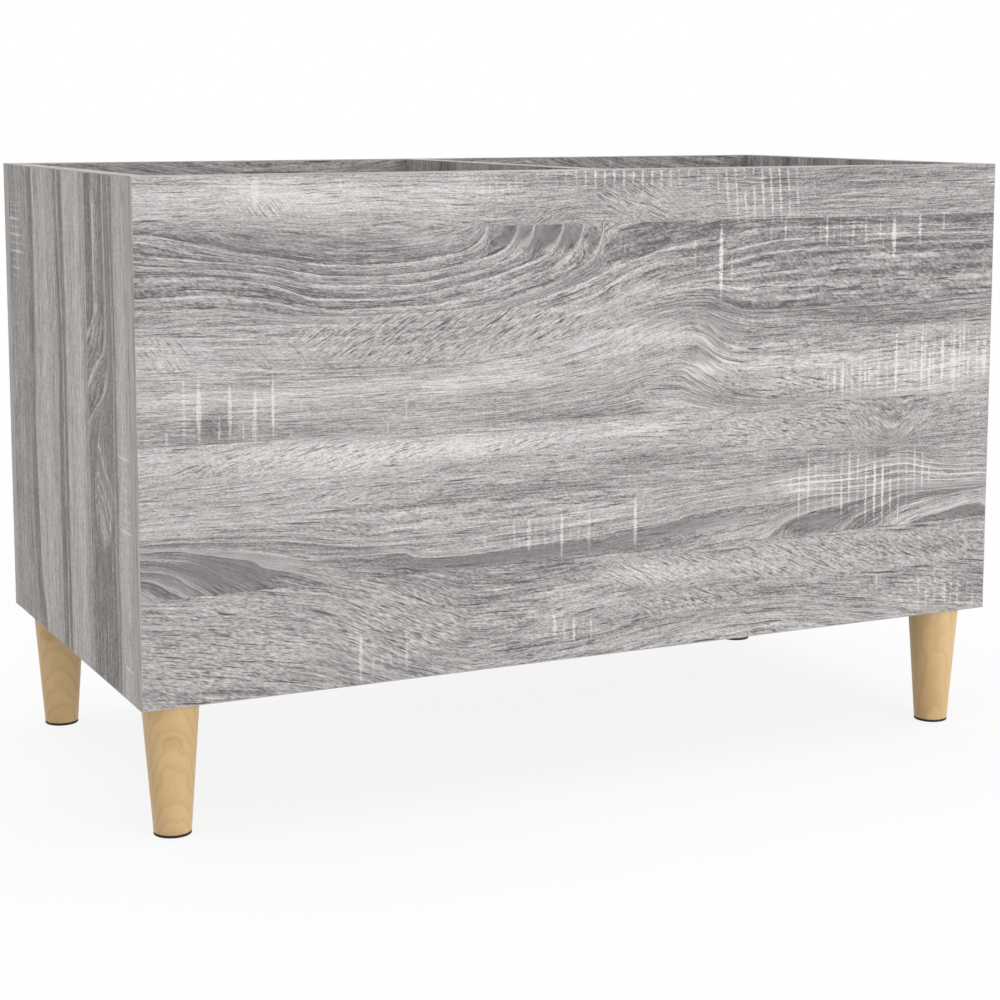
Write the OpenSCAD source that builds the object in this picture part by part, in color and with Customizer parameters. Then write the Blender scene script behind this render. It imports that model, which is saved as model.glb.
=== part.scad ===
// Record cabinet: an open-topped box in two compartments, on four tapered wooden legs.
// The origin is on the floor under the middle of the cabinet. The front faces -Y and +X is its right.

/* [Box] */
// Width of the cabinet
cabinet_w = 745; // [600:5:1000]
// Depth of the cabinet, from the front face to the back face
cabinet_d = 380; // [340:5:480]
// Height of the box, from the legs to the rim
box_h = 380; // [280:5:450]
// Thickness of every board
board_t = 15; // [15:1:19]

/* [Edging] */
// Thickness of the strips glued to the boards' edges
edging_t = 0.8; // [0.6:0.1:2]
// Chamfer along the strips
edging_chamfer = 0.4; // [0.2:0.1:0.5]

/* [Legs] */
// Height of a leg without its pad
leg_h = 100; // [60:5:180]
// Diameter of a leg at the top
leg_top_d = 43; // [36:1:54]
// Diameter of a leg at the foot
leg_foot_d = 28; // [22:1:36]
// From each outer face of the box to the axis of a leg
leg_axis_in = 30; // [28:1:60]
// Chamfer at both ends of a leg
leg_chamfer = 0.5; // [0.2:0.1:1]
// Diameter of the pad under a leg
pad_d = 28; // [20:1:36]
// Thickness of the pad under a leg
pad_t = 2; // [1:0.5:5]
// Chamfer around the underside of a pad
pad_chamfer = 0.4; // [0.2:0.1:0.5]

/* [Leg fixings] */
// Outer diameter of the hanger bolt's machine thread
hanger_d = 8; // [6:1:8]
// Pitch of the hanger bolt's machine thread
hanger_pitch = 1.25; // [1:0.05:1.5]
// Length of machine thread above the leg
hanger_up = 11; // [8:0.5:11.5]
// Pitch of the hanger bolt's wood thread
hanger_wood_pitch = 3; // [2.5:0.1:4]
// Length of bolt in the leg
hanger_down = 36; // [25:1:45]
// Outer diameter of the threaded insert in the bottom panel
insert_d = 12; // [11:0.5:14]
// Length of the threaded insert
insert_l = 12; // [11.5:0.1:13]
// Pitch of the ridge around the insert
insert_pitch = 3; // [2:0.1:4]

/* [Cam joints] */
// Diameter of a cam nut
cam_d = 15; // [14:0.5:18]
// How far a cam nut reaches past the axis of its bolt
cam_past_axis = 5; // [4.5:0.1:5.5]
// How deep a cam nut's face lies below the board's face
cam_recess = 0.2; // [0.1:0.1:0.5]
// From the joint to the axis of the cam nut
cam_set_back = 34; // [24:1:40]
// Diameter of the bore for a cam bolt in a board's end
cam_bolt_bore_d = 8; // [8:0.5:9]
// Diameter of a cam bolt's shank
shank_d = 6.4; // [5.5:0.1:7]
// Diameter of a cam bolt's neck, in the slot of the nut
neck_d = 4; // [3:0.1:4.5]
// Diameter of a cam bolt's head, in the hollow of the nut
head_d = 6.8; // [6:0.1:7]
// Length of a cam bolt's head
head_l = 3; // [2:0.1:3.5]
// Outer diameter of the thread that holds a cam bolt in a board's face
cam_thread_d = 6; // [5:0.1:7]
// Length of that thread
cam_thread_l = 10.5; // [8:0.5:12]
// Pitch of that thread
cam_thread_pitch = 2; // [1.5:0.1:2.5]

/* [Dowels] */
// Diameter of a dowel
dowel_d = 8; // [6:0.5:8]
// Length of a dowel
dowel_l = 30; // [25:1:40]
// Length of a dowel in the board that is drilled in its face
dowel_in_face = 10; // [8:0.5:11]
// Chamfer at both ends of a dowel
dowel_chamfer = 1; // [0.5:0.1:1.5]
// From a cam bolt to the dowel beside it
dowel_pitch = 32; // [25:1:40]

/* [Joint positions] */
// From the upper and lower edges of the box to the cam bolts in its corners
corner_bolt_in = 60; // [50:1:80]
// From the sides of the cabinet to the cam bolts between bottom panel, front and back
bottom_bolt_in = 130; // [100:1:200]
// From the front and the back to the dowels along the ends of the bottom panel and the divider
bottom_dowel_in = 90; // [80:1:120]

/* [Clearances] */
// Hairline between two edging strips that meet at a corner
strip_gap = 0.1; // [0.05:0.05:0.2]
// Difference in diameter between a bore and the piece in it
bore_clearance = 0.1; // [0.05:0.05:0.2]
// Free space past the end of a piece in its bore
end_gap = 0.8; // [0.3:0.1:1]
// Free space around a cam bolt's neck and head in the nut
cam_clearance = 0.4; // [0.2:0.1:0.5]

/* [Colours] */
// Faces of the boards
board_colour = [0.70, 0.68, 0.67];
// Edging strips
edging_colour = [0.80, 0.79, 0.78];
// Legs
leg_colour = [0.83, 0.69, 0.48];
// Pads
pad_colour = [0.13, 0.12, 0.11];
// Steel fixings
steel_colour = [0.72, 0.73, 0.75];
// Dowels
dowel_colour = [0.85, 0.74, 0.56];

/* [Hidden] */
$fn = 64;

// Signs of the two sides along an axis
left = -1;
right = 1;
front = -1;
back = 1;
both = [-1, 1];

// Levels
box_z = pad_t + leg_h;
rim_z = box_z + box_h;
shelf_z = box_z + board_t;

// Room between the walls
inner_w = cabinet_w - 2 * board_t;
inner_d = cabinet_d - 2 * board_t;

// Middles of the walls
wall_x = (cabinet_w - board_t) / 2;
wall_y = (cabinet_d - board_t) / 2;
leg_x = cabinet_w / 2 - leg_axis_in;
leg_y = cabinet_d / 2 - leg_axis_in;

// A strip's chamfer leaves at least half of its thickness square
strip_chamfer = min(edging_chamfer, edging_t / 2);

// Heights of the cam bolts and dowels in the corners and at the ends of the divider
corner_bolt_z = [box_z + corner_bolt_in, rim_z - corner_bolt_in];
corner_dowel_z = [corner_bolt_z[0] + dowel_pitch, corner_bolt_z[1] - dowel_pitch];
// Places along the front and back edges of the bottom panel
bottom_bolt_x = cabinet_w / 2 - bottom_bolt_in;
bottom_mid_z = box_z + board_t / 2;
// Places along the ends of the bottom panel and the foot of the divider
bottom_dowel_y = cabinet_d / 2 - bottom_dowel_in;

// Parts of the cam bolt and the hollow in its nut, from the joint
bolt_axis_depth = board_t / 2;
neck_start = cam_set_back - cam_d / 2 - cam_clearance;
head_end = cam_set_back + head_l / 4;
head_start = head_end - head_l;
cam_hollow_d = 2 * norm([head_start - cam_set_back, head_d / 2]) + cam_clearance;
cam_hollow_h = head_d + 2 * cam_clearance;
cam_slot_w = neck_d + 2 * cam_clearance;
cam_h = bolt_axis_depth + cam_past_axis - cam_recess;
cam_drive_w = cam_d / 10;
cam_drive_l = cam_d / 2;
cam_drive_depth = (bolt_axis_depth - cam_hollow_h / 2) / 2;

// Depths of threads, as shares of their outer diameters
machine_root_share = 0.81;
wood_root_share = 0.72;
insert_root_share = 0.88;
// Length of the points at the ends of the screws, as a share of their diameters
point_share = 0.4;

// All cuts run past the faces by this much
overrun = board_t / 10;

// A revolved rod along +Z with a V-shaped ridge in each pitch
module threaded_rod(outer_d, root_share, pitch, length) {
    root_r = outer_d / 2 * root_share;
    turns = floor(length / pitch);
    ridges = [for (i = [0 : turns - 1]) each [[root_r, i * pitch], [outer_d / 2, (i + 0.5) * pitch]]];
    plain_end = length > turns * pitch ? [[root_r, turns * pitch]] : [];
    rotate_extrude()
        polygon(concat([[0, 0]], ridges, plain_end, [[root_r, length], [0, length]]));
}

// A straight or tapered rod along +Z with a chamfer at each end
module chamfered_rod(bottom_d, top_d, length, chamfer) {
    rotate_extrude()
        polygon([
            [0, 0], [bottom_d / 2 - chamfer, 0], [bottom_d / 2, chamfer],
            [top_d / 2, length - chamfer], [top_d / 2 - chamfer, length], [0, length]
        ]);
}

// An edging strip along X: glued at z = 0 and chamfered on both sides of its outer face
module edging_strip(length) {
    rotate([90, 0, 90])
        linear_extrude(length, center = true)
            polygon([
                [-board_t / 2, 0], [board_t / 2, 0],
                [board_t / 2, edging_t - strip_chamfer], [board_t / 2 - strip_chamfer, edging_t],
                [-board_t / 2 + strip_chamfer, edging_t], [-board_t / 2, edging_t - strip_chamfer]
            ]);
}

// Joint frames: +Z runs from the joint into the board that is drilled in its end,
// and +X points to the face of that board where the cam nut sits

// Joints of the front or back panel with the ends of both side panels
module at_corner_joints(end, heights) {
    for (side = both, z = heights)
        translate([side * wall_x, end * inner_d / 2, z])
            rotate([end * 90, 0, 0])
                mirror([side == right ? 1 : 0, 0, 0])
                    children();
}

// Joints of the front or back panel with the divider
module at_divider_joints(end, heights) {
    for (z = heights)
        translate([0, end * inner_d / 2, z])
            rotate([end * 90, 0, 0])
                children();
}

// Joints of the front or back panel with the bottom panel, whose cam nuts sit underneath
module at_bottom_joints(end, places) {
    for (side = both, x = places)
        translate([side * x, end * inner_d / 2, bottom_mid_z])
            rotate([end * 90, 0, 0])
                rotate([0, 0, -end * 90])
                    children();
}

// Joints of a side panel with the end of the bottom panel
module at_end_joints(side, places) {
    for (y = places)
        translate([side * inner_w / 2, y, bottom_mid_z])
            rotate([0, -side * 90, 0])
                mirror([side == right ? 1 : 0, 0, 0])
                    children();
}

// Dowels between the divider's foot and the bottom panel
module at_foot_dowels() {
    for (end = both)
        translate([0, end * bottom_dowel_y, shelf_z])
            children();
}

module at_legs(level) {
    for (side = both, end = both)
        translate([side * leg_x, end * leg_y, level])
            children();
}

// Places that bolts and dowels share
module at_front_or_back_bolts(end) {
    at_corner_joints(end, corner_bolt_z) children();
    at_divider_joints(end, corner_bolt_z) children();
    at_bottom_joints(end, [bottom_bolt_x]) children();
}

module at_front_or_back_dowels(end) {
    at_corner_joints(end, corner_dowel_z) children();
    at_divider_joints(end, corner_dowel_z) children();
    at_bottom_joints(end, [bottom_bolt_x - dowel_pitch, bottom_bolt_x + dowel_pitch]) children();
}

module at_end_bolts(side) {
    at_end_joints(side, [0]) children();
}

module at_end_dowels(side) {
    at_end_joints(side, [-bottom_dowel_y, bottom_dowel_y]) children();
}

// The bores for a cam bolt and its nut, in both boards of a joint
module cam_bores() {
    face_bore_l = cam_thread_l + end_gap;
    translate([0, 0, -face_bore_l])
        cylinder(d = cam_thread_d + bore_clearance, h = face_bore_l + overrun);
    cylinder(d = cam_bolt_bore_d, h = cam_set_back);
    translate([-cam_past_axis - bore_clearance, 0, cam_set_back])
        rotate([0, 90, 0])
            cylinder(d = cam_d + bore_clearance, h = cam_past_axis + bore_clearance + board_t / 2 + overrun);
}

// The bore for a dowel, in both boards of a joint
module dowel_bores() {
    translate([0, 0, -dowel_in_face - end_gap])
        cylinder(d = dowel_d + bore_clearance, h = dowel_l + 2 * end_gap);
}

module insert_bore() {
    translate([0, 0, -overrun])
        cylinder(d = insert_d + bore_clearance, h = insert_l + end_gap + overrun);
}

// A full-width wall, without the strips around its edges
module full_width_board(end) {
    difference() {
        translate([-cabinet_w / 2 + edging_t, end * wall_y - board_t / 2, box_z + edging_t])
            cube([cabinet_w - 2 * edging_t, board_t, box_h - 2 * edging_t]);
        at_front_or_back_bolts(end) cam_bores();
        at_front_or_back_dowels(end) dowel_bores();
    }
}

module full_width_edging(end) {
    translate([0, end * wall_y, 0]) {
        translate([0, 0, rim_z - edging_t]) edging_strip(cabinet_w);
        translate([0, 0, box_z + edging_t]) rotate([180, 0, 0]) edging_strip(cabinet_w);
        for (side = both)
            translate([side * (cabinet_w / 2 - edging_t), 0, box_z + box_h / 2])
                rotate([0, side * 90, 0])
                    edging_strip(box_h - 2 * edging_t - 2 * strip_gap);
    }
}

// A side wall between the front and back panels
module side_board(side) {
    difference() {
        translate([side * wall_x - board_t / 2, -inner_d / 2, box_z + edging_t])
            cube([board_t, inner_d, box_h - 2 * edging_t]);
        for (end = both) {
            at_corner_joints(end, corner_bolt_z) cam_bores();
            at_corner_joints(end, corner_dowel_z) dowel_bores();
        }
        at_end_bolts(side) cam_bores();
        at_end_dowels(side) dowel_bores();
    }
}

module side_edging(side) {
    translate([side * wall_x, 0, 0])
        rotate([0, 0, 90]) {
            translate([0, 0, rim_z - edging_t]) edging_strip(inner_d);
            translate([0, 0, box_z + edging_t]) rotate([180, 0, 0]) edging_strip(inner_d);
        }
}

module front_panel() {
    color(board_colour) full_width_board(front);
}

module back_panel() {
    color(board_colour) full_width_board(back);
}

module left_side_panel() {
    color(board_colour) side_board(left);
}

module right_side_panel() {
    color(board_colour) side_board(right);
}

module bottom_panel() {
    color(board_colour)
        difference() {
            translate([-inner_w / 2, -inner_d / 2, box_z])
                cube([inner_w, inner_d, board_t]);
            for (end = both) {
                at_bottom_joints(end, [bottom_bolt_x]) cam_bores();
                at_bottom_joints(end, [bottom_bolt_x - dowel_pitch, bottom_bolt_x + dowel_pitch]) dowel_bores();
            }
            for (side = both) {
                at_end_bolts(side) cam_bores();
                at_end_dowels(side) dowel_bores();
            }
            at_foot_dowels() dowel_bores();
            at_legs(box_z) insert_bore();
        }
}

module centre_divider() {
    color(board_colour)
        difference() {
            translate([-board_t / 2, -inner_d / 2, shelf_z])
                cube([board_t, inner_d, rim_z - edging_t - shelf_z]);
            for (end = both) {
                at_divider_joints(end, corner_bolt_z) cam_bores();
                at_divider_joints(end, corner_dowel_z) dowel_bores();
            }
            at_foot_dowels() dowel_bores();
        }
}

module front_panel_edging() {
    color(edging_colour) full_width_edging(front);
}

module back_panel_edging() {
    color(edging_colour) full_width_edging(back);
}

module left_side_edging() {
    color(edging_colour) side_edging(left);
}

module right_side_edging() {
    color(edging_colour) side_edging(right);
}

module divider_edging() {
    color(edging_colour)
        translate([0, 0, rim_z - edging_t])
            rotate([0, 0, 90])
                edging_strip(inner_d);
}

// A tapered leg, bored from the top for its hanger bolt
module leg(side, end) {
    color(leg_colour)
        translate([side * leg_x, end * leg_y, pad_t])
            difference() {
                chamfered_rod(leg_foot_d, leg_top_d, leg_h, leg_chamfer);
                translate([0, 0, leg_h - hanger_down - end_gap])
                    cylinder(d = hanger_d + bore_clearance, h = hanger_down + end_gap + overrun);
            }
}

module pad(side, end) {
    color(pad_colour)
        translate([side * leg_x, end * leg_y, 0])
            rotate_extrude()
                polygon([
                    [0, 0], [pad_d / 2 - pad_chamfer, 0], [pad_d / 2, pad_chamfer],
                    [pad_d / 2, pad_t], [0, pad_t]
                ]);
}

module front_left_leg() {
    leg(left, front);
}

module front_right_leg() {
    leg(right, front);
}

module back_left_leg() {
    leg(left, back);
}

module back_right_leg() {
    leg(right, back);
}

module front_left_pad() {
    pad(left, front);
}

module front_right_pad() {
    pad(right, front);
}

module back_left_pad() {
    pad(left, back);
}

module back_right_pad() {
    pad(right, back);
}

// Wood thread down in the leg, machine thread up in the insert
module hanger_bolts() {
    point_l = hanger_d * point_share;
    color(steel_colour)
        at_legs(box_z) {
            threaded_rod(hanger_d, machine_root_share, hanger_pitch, hanger_up);
            translate([0, 0, -hanger_down + point_l])
                threaded_rod(hanger_d, wood_root_share, hanger_wood_pitch, hanger_down - point_l);
            translate([0, 0, -hanger_down])
                cylinder(d1 = 0, d2 = hanger_d * wood_root_share, h = point_l);
        }
}

module leg_inserts() {
    color(steel_colour)
        at_legs(box_z)
            difference() {
                threaded_rod(insert_d, insert_root_share, insert_pitch, insert_l);
                translate([0, 0, -overrun])
                    cylinder(d = hanger_d + bore_clearance, h = insert_l + 2 * overrun);
            }
}

// Threaded in the face of one board, with its head in the nut in the other
module cam_bolt() {
    translate([0, 0, -cam_thread_l])
        threaded_rod(cam_thread_d, wood_root_share, cam_thread_pitch, cam_thread_l);
    rotate_extrude()
        polygon([
            [0, 0], [shank_d / 2, 0], [shank_d / 2, neck_start],
            [neck_d / 2, neck_start], [neck_d / 2, head_start],
            [head_d / 2, head_start], [head_d / 2, head_end], [0, head_end]
        ]);
}

// A nut with a hollow for the bolt's head, a slot for its neck and a cross for the screwdriver
module cam_nut() {
    translate([-cam_past_axis, 0, cam_set_back])
        rotate([0, 90, 0])
            difference() {
                cylinder(d = cam_d, h = cam_h);
                translate([0, 0, cam_past_axis - cam_hollow_h / 2])
                    cylinder(d = cam_hollow_d, h = cam_hollow_h);
                translate([0, -cam_slot_w / 2, cam_past_axis - cam_slot_w / 2])
                    cube([cam_d / 2 + overrun, cam_slot_w, cam_slot_w]);
                for (turn = [0, 90])
                    rotate([0, 0, turn])
                        translate([-cam_drive_l / 2, -cam_drive_w / 2, cam_h - cam_drive_depth])
                            cube([cam_drive_l, cam_drive_w, cam_drive_depth + overrun]);
            }
}

module dowel() {
    translate([0, 0, -dowel_in_face])
        chamfered_rod(dowel_d, dowel_d, dowel_l, dowel_chamfer);
}

module cam_bolts() {
    color(steel_colour) {
        for (end = both) at_front_or_back_bolts(end) cam_bolt();
        for (side = both) at_end_bolts(side) cam_bolt();
    }
}

module cam_nuts() {
    color(steel_colour) {
        for (end = both) at_front_or_back_bolts(end) cam_nut();
        for (side = both) at_end_bolts(side) cam_nut();
    }
}

module wood_dowels() {
    color(dowel_colour) {
        for (end = both) at_front_or_back_dowels(end) dowel();
        for (side = both) at_end_dowels(side) dowel();
        at_foot_dowels() dowel();
    }
}

front_panel();
back_panel();
left_side_panel();
right_side_panel();
bottom_panel();
centre_divider();
front_panel_edging();
back_panel_edging();
left_side_edging();
right_side_edging();
divider_edging();
front_left_leg();
front_right_leg();
back_left_leg();
back_right_leg();
front_left_pad();
front_right_pad();
back_left_pad();
back_right_pad();
hanger_bolts();
leg_inserts();
cam_bolts();
cam_nuts();
wood_dowels();
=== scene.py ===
import math

import bmesh
import bpy
from mathutils import Matrix, Vector


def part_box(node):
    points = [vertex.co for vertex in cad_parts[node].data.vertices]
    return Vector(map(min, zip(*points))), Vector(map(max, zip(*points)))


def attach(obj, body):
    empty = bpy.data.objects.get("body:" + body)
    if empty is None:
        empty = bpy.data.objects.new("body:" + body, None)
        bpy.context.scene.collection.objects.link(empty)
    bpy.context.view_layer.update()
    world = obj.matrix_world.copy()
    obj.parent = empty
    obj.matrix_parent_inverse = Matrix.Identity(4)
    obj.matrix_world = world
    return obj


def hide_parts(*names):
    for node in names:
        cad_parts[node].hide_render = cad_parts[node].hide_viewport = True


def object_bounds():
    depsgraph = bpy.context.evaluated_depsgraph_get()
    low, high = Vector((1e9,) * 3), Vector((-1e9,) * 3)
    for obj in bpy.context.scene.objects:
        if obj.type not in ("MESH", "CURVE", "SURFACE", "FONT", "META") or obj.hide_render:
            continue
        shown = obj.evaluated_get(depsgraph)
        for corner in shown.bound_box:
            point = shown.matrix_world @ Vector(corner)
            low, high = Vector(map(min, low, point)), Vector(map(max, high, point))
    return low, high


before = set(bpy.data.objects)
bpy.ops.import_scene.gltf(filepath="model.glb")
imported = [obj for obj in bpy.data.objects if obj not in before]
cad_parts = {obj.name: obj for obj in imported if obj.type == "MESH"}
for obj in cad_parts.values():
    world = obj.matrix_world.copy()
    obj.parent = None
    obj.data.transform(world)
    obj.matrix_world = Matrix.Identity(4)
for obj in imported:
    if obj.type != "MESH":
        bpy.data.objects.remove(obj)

cad_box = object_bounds()

MM = 0.001

# Heights of the cabinet, and the thickness of its edging, read from the frame
low, high = cad_box
rim_z = high.z
strip_low, strip_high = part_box("front_panel_edging")
strip_t = strip_high.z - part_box("front_panel")[1].z
box_z = strip_low.z

# Roundings that the finished pieces have
STRIP_ARRIS = 0.35 * MM
LEG_ARRIS = 0.5 * MM
PAD_ARRIS = 0.4 * MM
ARRIS_STEPS = 3
LEG_SIDES = 96
PAD_SIDES = 72
SHARP_ANGLE = math.radians(40)
# Hairline between two edging strips that meet at a corner
STRIP_GAP = 0.1 * MM
# Diameter of a leg at the foot, and of its bore for the hanger bolt
LEG_FOOT_D = 28 * MM
LEG_BORE_D = 8.1 * MM
LEG_BORE_DEPTH = 36.8 * MM

# Blanks of the legs: the way that the arched face looks, how far the pith leans a millimetre, the
# spacing of the rings, a seed, and a small knot's place from the leg's axis and the floor
LEG_BLANKS = {
    "front_left": (-0.2, -0.98, 0.34, 4.4, 2.3, (-4, -19, 74)),
    "front_right": (-0.45, -0.9, 0.13, 4.6, 5.9, (12, 14, 60)),
    "back_left": (-0.34, -0.94, 0.33, 4.6, 8.3, (-14, -14, 80)),
    "back_right": (0.8, 0.6, 0.36, 4.0, 12.7, (16, 8, 40)),
}
PITH_DEPTH = 78.0
RING_SWAY = 15.0
# Size of a knot along each axis, how far it pushes the rings, and how much darker it is
KNOT_SIZE = (9, 9, 6)
KNOT_PUSH = 2.6
KNOT_TONE = 0.22
# Tone of the pine, and how much its late wood, its fibre and its warm parts change it
PINE_TONE = 0.63
LATE_TONE = 0.15
FIBRE_TONE = 0.26
WARM_TONE = 0.5
# Where in a ring the late wood darkens, and where it ends
LATE_RISE = (0.35, 0.86)
LATE_FALL = (0.9, 1.0)


class Socket:
    """A shader socket. An expression on sockets and numbers adds its Math nodes."""

    def __init__(self, nodes, link):
        self.nodes = nodes
        self.link = link

    def math(self, operation, *operands):
        return self.nodes.node("ShaderNodeMath", {"operation": operation}, dict(enumerate(operands)))

    def __add__(self, other):
        return self.math("ADD", self, other)

    def __sub__(self, other):
        return self.math("SUBTRACT", self, other)

    def __rsub__(self, other):
        return self.math("SUBTRACT", other, self)

    def __mul__(self, other):
        return self.math("MULTIPLY", self, other)

    def __truediv__(self, other):
        return self.math("DIVIDE", self, other)

    def __pow__(self, other):
        return self.math("POWER", self, other)

    def __gt__(self, other):
        return self.math("GREATER_THAN", self, other)

    def __lt__(self, other):
        return self.math("LESS_THAN", self, other)

    def __abs__(self):
        return self.math("ABSOLUTE", self)

    __radd__ = __add__
    __rmul__ = __mul__


# A patch is as strong as its amount out to this share of its size, and fades out from there
PATCH_CORE = 0.15
# How much the noise rises from the edge of a stroke to its full tone
STROKE_EDGE = 0.1


class Nodes:
    """The nodes of a material, a group or the sky."""

    def __init__(self, tree):
        self.tree = tree

    def node(self, kind, settings, values, output=0):
        """A node of that type, with its settings made first, and one of its outputs."""
        made = self.tree.nodes.new(kind)
        for name, setting in settings.items():
            if name == "stops":
                set_stops(made.color_ramp, setting)
            elif name == "line":
                set_line(made.mapping, setting)
            else:
                setattr(made, name, setting)
        for key, value in values.items():
            self.plug(made.inputs[key], value)
        return Socket(self, made.outputs[output]) if made.outputs else None

    def plug(self, socket, value):
        """Links an input to a socket, or sets it to a value."""
        if isinstance(value, Socket):
            self.tree.links.new(value.link, socket)
        else:
            socket.default_value = value

    def outputs(self, socket):
        """All outputs of the node that a socket comes from."""
        return [Socket(self, out) for out in socket.link.node.outputs]

    def run(self, tree, **values):
        """The outputs of a node group that is given those values."""
        return self.outputs(self.node("ShaderNodeGroup", {"node_tree": tree}, values))

    def place(self, axes="Object"):
        """The piece's own coordinates in metres, or its UV map."""
        return self.node("ShaderNodeTexCoord", {}, {}, axes)

    def place_mm(self, shift=(0, 0, 0)):
        """The piece's own coordinates in millimetres, from a place that is at minus the shift."""
        return self.scaled(self.place(), (1 / MM, 1 / MM, 1 / MM), shift)

    def split(self, vector):
        return self.outputs(self.node("ShaderNodeSeparateXYZ", {}, {0: vector}))

    def join(self, x, y, z=0.0):
        return self.node("ShaderNodeCombineXYZ", {}, {0: x, 1: y, 2: z})

    def scaled(self, vector, scale, shift=(0, 0, 0)):
        """The vector times scale plus shift, along each axis by itself."""
        values = {0: vector, 1: scale, 2: shift}
        return self.node("ShaderNodeVectorMath", {"operation": "MULTIPLY_ADD"}, values)

    def length(self, vector):
        return self.node("ShaderNodeVectorMath", {"operation": "LENGTH"}, {0: vector}, "Value")

    def noise(self, vector, size, shift=(0, 0, 0), detail=2.0, roughness=0.5):
        """Noise between 0 and 1 whose features have that size, the same or its own along each axis."""
        sizes = size if isinstance(size, tuple) else (size, size, size)
        scale = [1 / along for along in sizes]
        values = {"Vector": self.scaled(vector, scale, shift), "Scale": 1.0}
        values.update({"Detail": detail, "Roughness": roughness})
        return self.node("ShaderNodeTexNoise", {"noise_dimensions": "3D"}, values)

    def ripple(self, *given, **named):
        """The same noise between -0.5 and 0.5."""
        return self.noise(*given, **named) - 0.5

    def strokes(self, vector, mark, turn=0):
        """Thin strokes along the first axis, from (length, height, seed, least noise, tone)."""
        length, height, seed, least, tone = mark
        found = self.noise(vector, (length, height, 1), (0, 0, turn + seed), detail=1)
        return self.ramp(found, least, least + STROKE_EDGE) * tone

    def ramp(self, value, from_low, from_high, to_low=0.0, to_high=1.0, kind="SMOOTHSTEP"):
        """The value carried from one range to another, and held at its ends."""
        values = {0: value, 1: from_low, 2: from_high, 3: to_low, 4: to_high}
        carried = self.node("ShaderNodeMapRange", {"interpolation_type": kind, "clamp": False}, values)
        if kind == "SMOOTHSTEP":
            return carried
        return self.node("ShaderNodeClamp", {"clamp_type": "RANGE"}, {0: carried, 1: to_low, 2: to_high})

    def patch(self, vector, patch, core=PATCH_CORE):
        """An ellipse, from (centre, centre, half length, half height, amount)."""
        x, y, half_x, half_y, amount = patch
        near = self.scaled(vector, (1 / half_x, 1 / half_y, 0), (-x / half_x, -y / half_y, 0))
        return self.ramp(self.length(near), 1.0, core, 0.0, amount)

    def patches(self, vector, patches, tone=0.0):
        """A tone with patches added to it."""
        for patch in patches:
            tone = self.patch(vector, patch) + tone
        return tone

    def mix(self, factor, first, second, blend="MIX"):
        """Two colours mixed, each a socket or a linear colour."""
        settings = {"data_type": "RGBA", "blend_type": blend, "clamp_factor": True}
        return self.node("ShaderNodeMix", settings, {0: factor, 6: first, 7: second}, 2)

    def colours(self, value, stops):
        return self.node("ShaderNodeValToRGB", {"stops": stops}, {0: value})


class Surface(Nodes):
    """A material in the making: a Principled shader and the nodes that feed it."""

    def __init__(self, name):
        self.material = bpy.data.materials.new(name)
        self.material.use_nodes = True
        super().__init__(self.material.node_tree)
        self.shader = self.tree.nodes["Principled BSDF"]

    def feed(self, name, value):
        """Sets or links one input of the Principled shader."""
        self.plug(self.shader.inputs[name], value)

    def bump(self, height, distance, strength=1.0):
        """A height from 0 to 1 that stands that distance proud, as the surface's normal."""
        values = {"Height": height, "Distance": distance, "Strength": strength}
        self.feed("Normal", self.node("ShaderNodeBump", {}, values))


def set_stops(ramp, stops):
    while len(ramp.elements) > 1:
        ramp.elements.remove(ramp.elements[-1])
    ramp.elements[0].position, ramp.elements[0].color = stops[0]
    for position, colour in stops[1:]:
        ramp.elements.new(position).color = colour


def set_line(mapping, points):
    """Draws a line through points from 0 to 1 in a curve node."""
    curve = mapping.curves[0]
    curve.points[0].location = points[0]
    curve.points[1].location = points[-1]
    for x, y in points[1:-1]:
        curve.points.new(x, y)
    for point in curve.points:
        point.handle_type = "AUTO_CLAMPED"
    mapping.update()


def srgb(red, green, blue):
    """A screen colour of 0 to 255 as the linear colour that shaders take."""
    parts = [part / 255 for part in (red, green, blue)]
    return [part / 12.92 if part <= 0.04045 else ((part + 0.055) / 1.055) ** 2.4 for part in parts] + [1.0]


# The decor: a printed sheet of grey oak staves. Every place in it is in millimetres, x along the
# grain and d across it. Grain lines are {level: {x: d}}: the level is a line's place across an
# unbent stave, and each x: d is a place where it runs. Between two lines the grain follows both.
# Bands are {level: tone}. A patch is (x, d, half length, half height, amount) and fades out to
# its edge. A shadow is (level, how far it reaches, span of x, amount).
LINE_LOW = -60.0
LINE_SPAN = 480.0
SHEET_LENGTH = 745.0


def flat_line(d):
    return {0: d, SHEET_LENGTH: d}


TOP_STAVE = {
    "top": 0, "bottom": 41, "seed": 3.1, "base": 0.444,
    "lines": {
        -12: flat_line(-12),
        8: {0: 8, 450: 9, 540: 9, 600: 5, 660: 2, 745: 1},
        30: {0: 31, 80: 30, 130: 33, 200: 31, 280: 36, 320: 33, 360: 28, 450: 30, 745: 27},
        60: flat_line(60),
    },
    "bands": {5: 0.5, 6.4: 0.36, 7.6: 0.6, 9.6: 0.42, 11: 0.58, 30: 0.5},
    "tones": [
        (60, 14, 300, 26, 0.15), (95, 9, 50, 14, 0.12), (210, 16, 160, 18, 0.06), (0, 42, 60, 13, -0.1),
        (250, 30, 60, 12, 0.08), (320, 34, 60, 10, -0.06), (385, 12, 50, 12, -0.16),
        (200, 36, 140, 8, 0.06), (560, 6, 200, 10, -0.12), (470, 30, 120, 12, 0.04),
        (650, 22, 100, 10, 0.06), (700, 8, 80, 10, -0.06), (560, 38, 160, 6, 0.05), (130, 18, 250, 30, 0.1),
        (580, 14, 200, 6, -0.12), (640, 24, 190, 26, -0.05),
    ],
}

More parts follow.
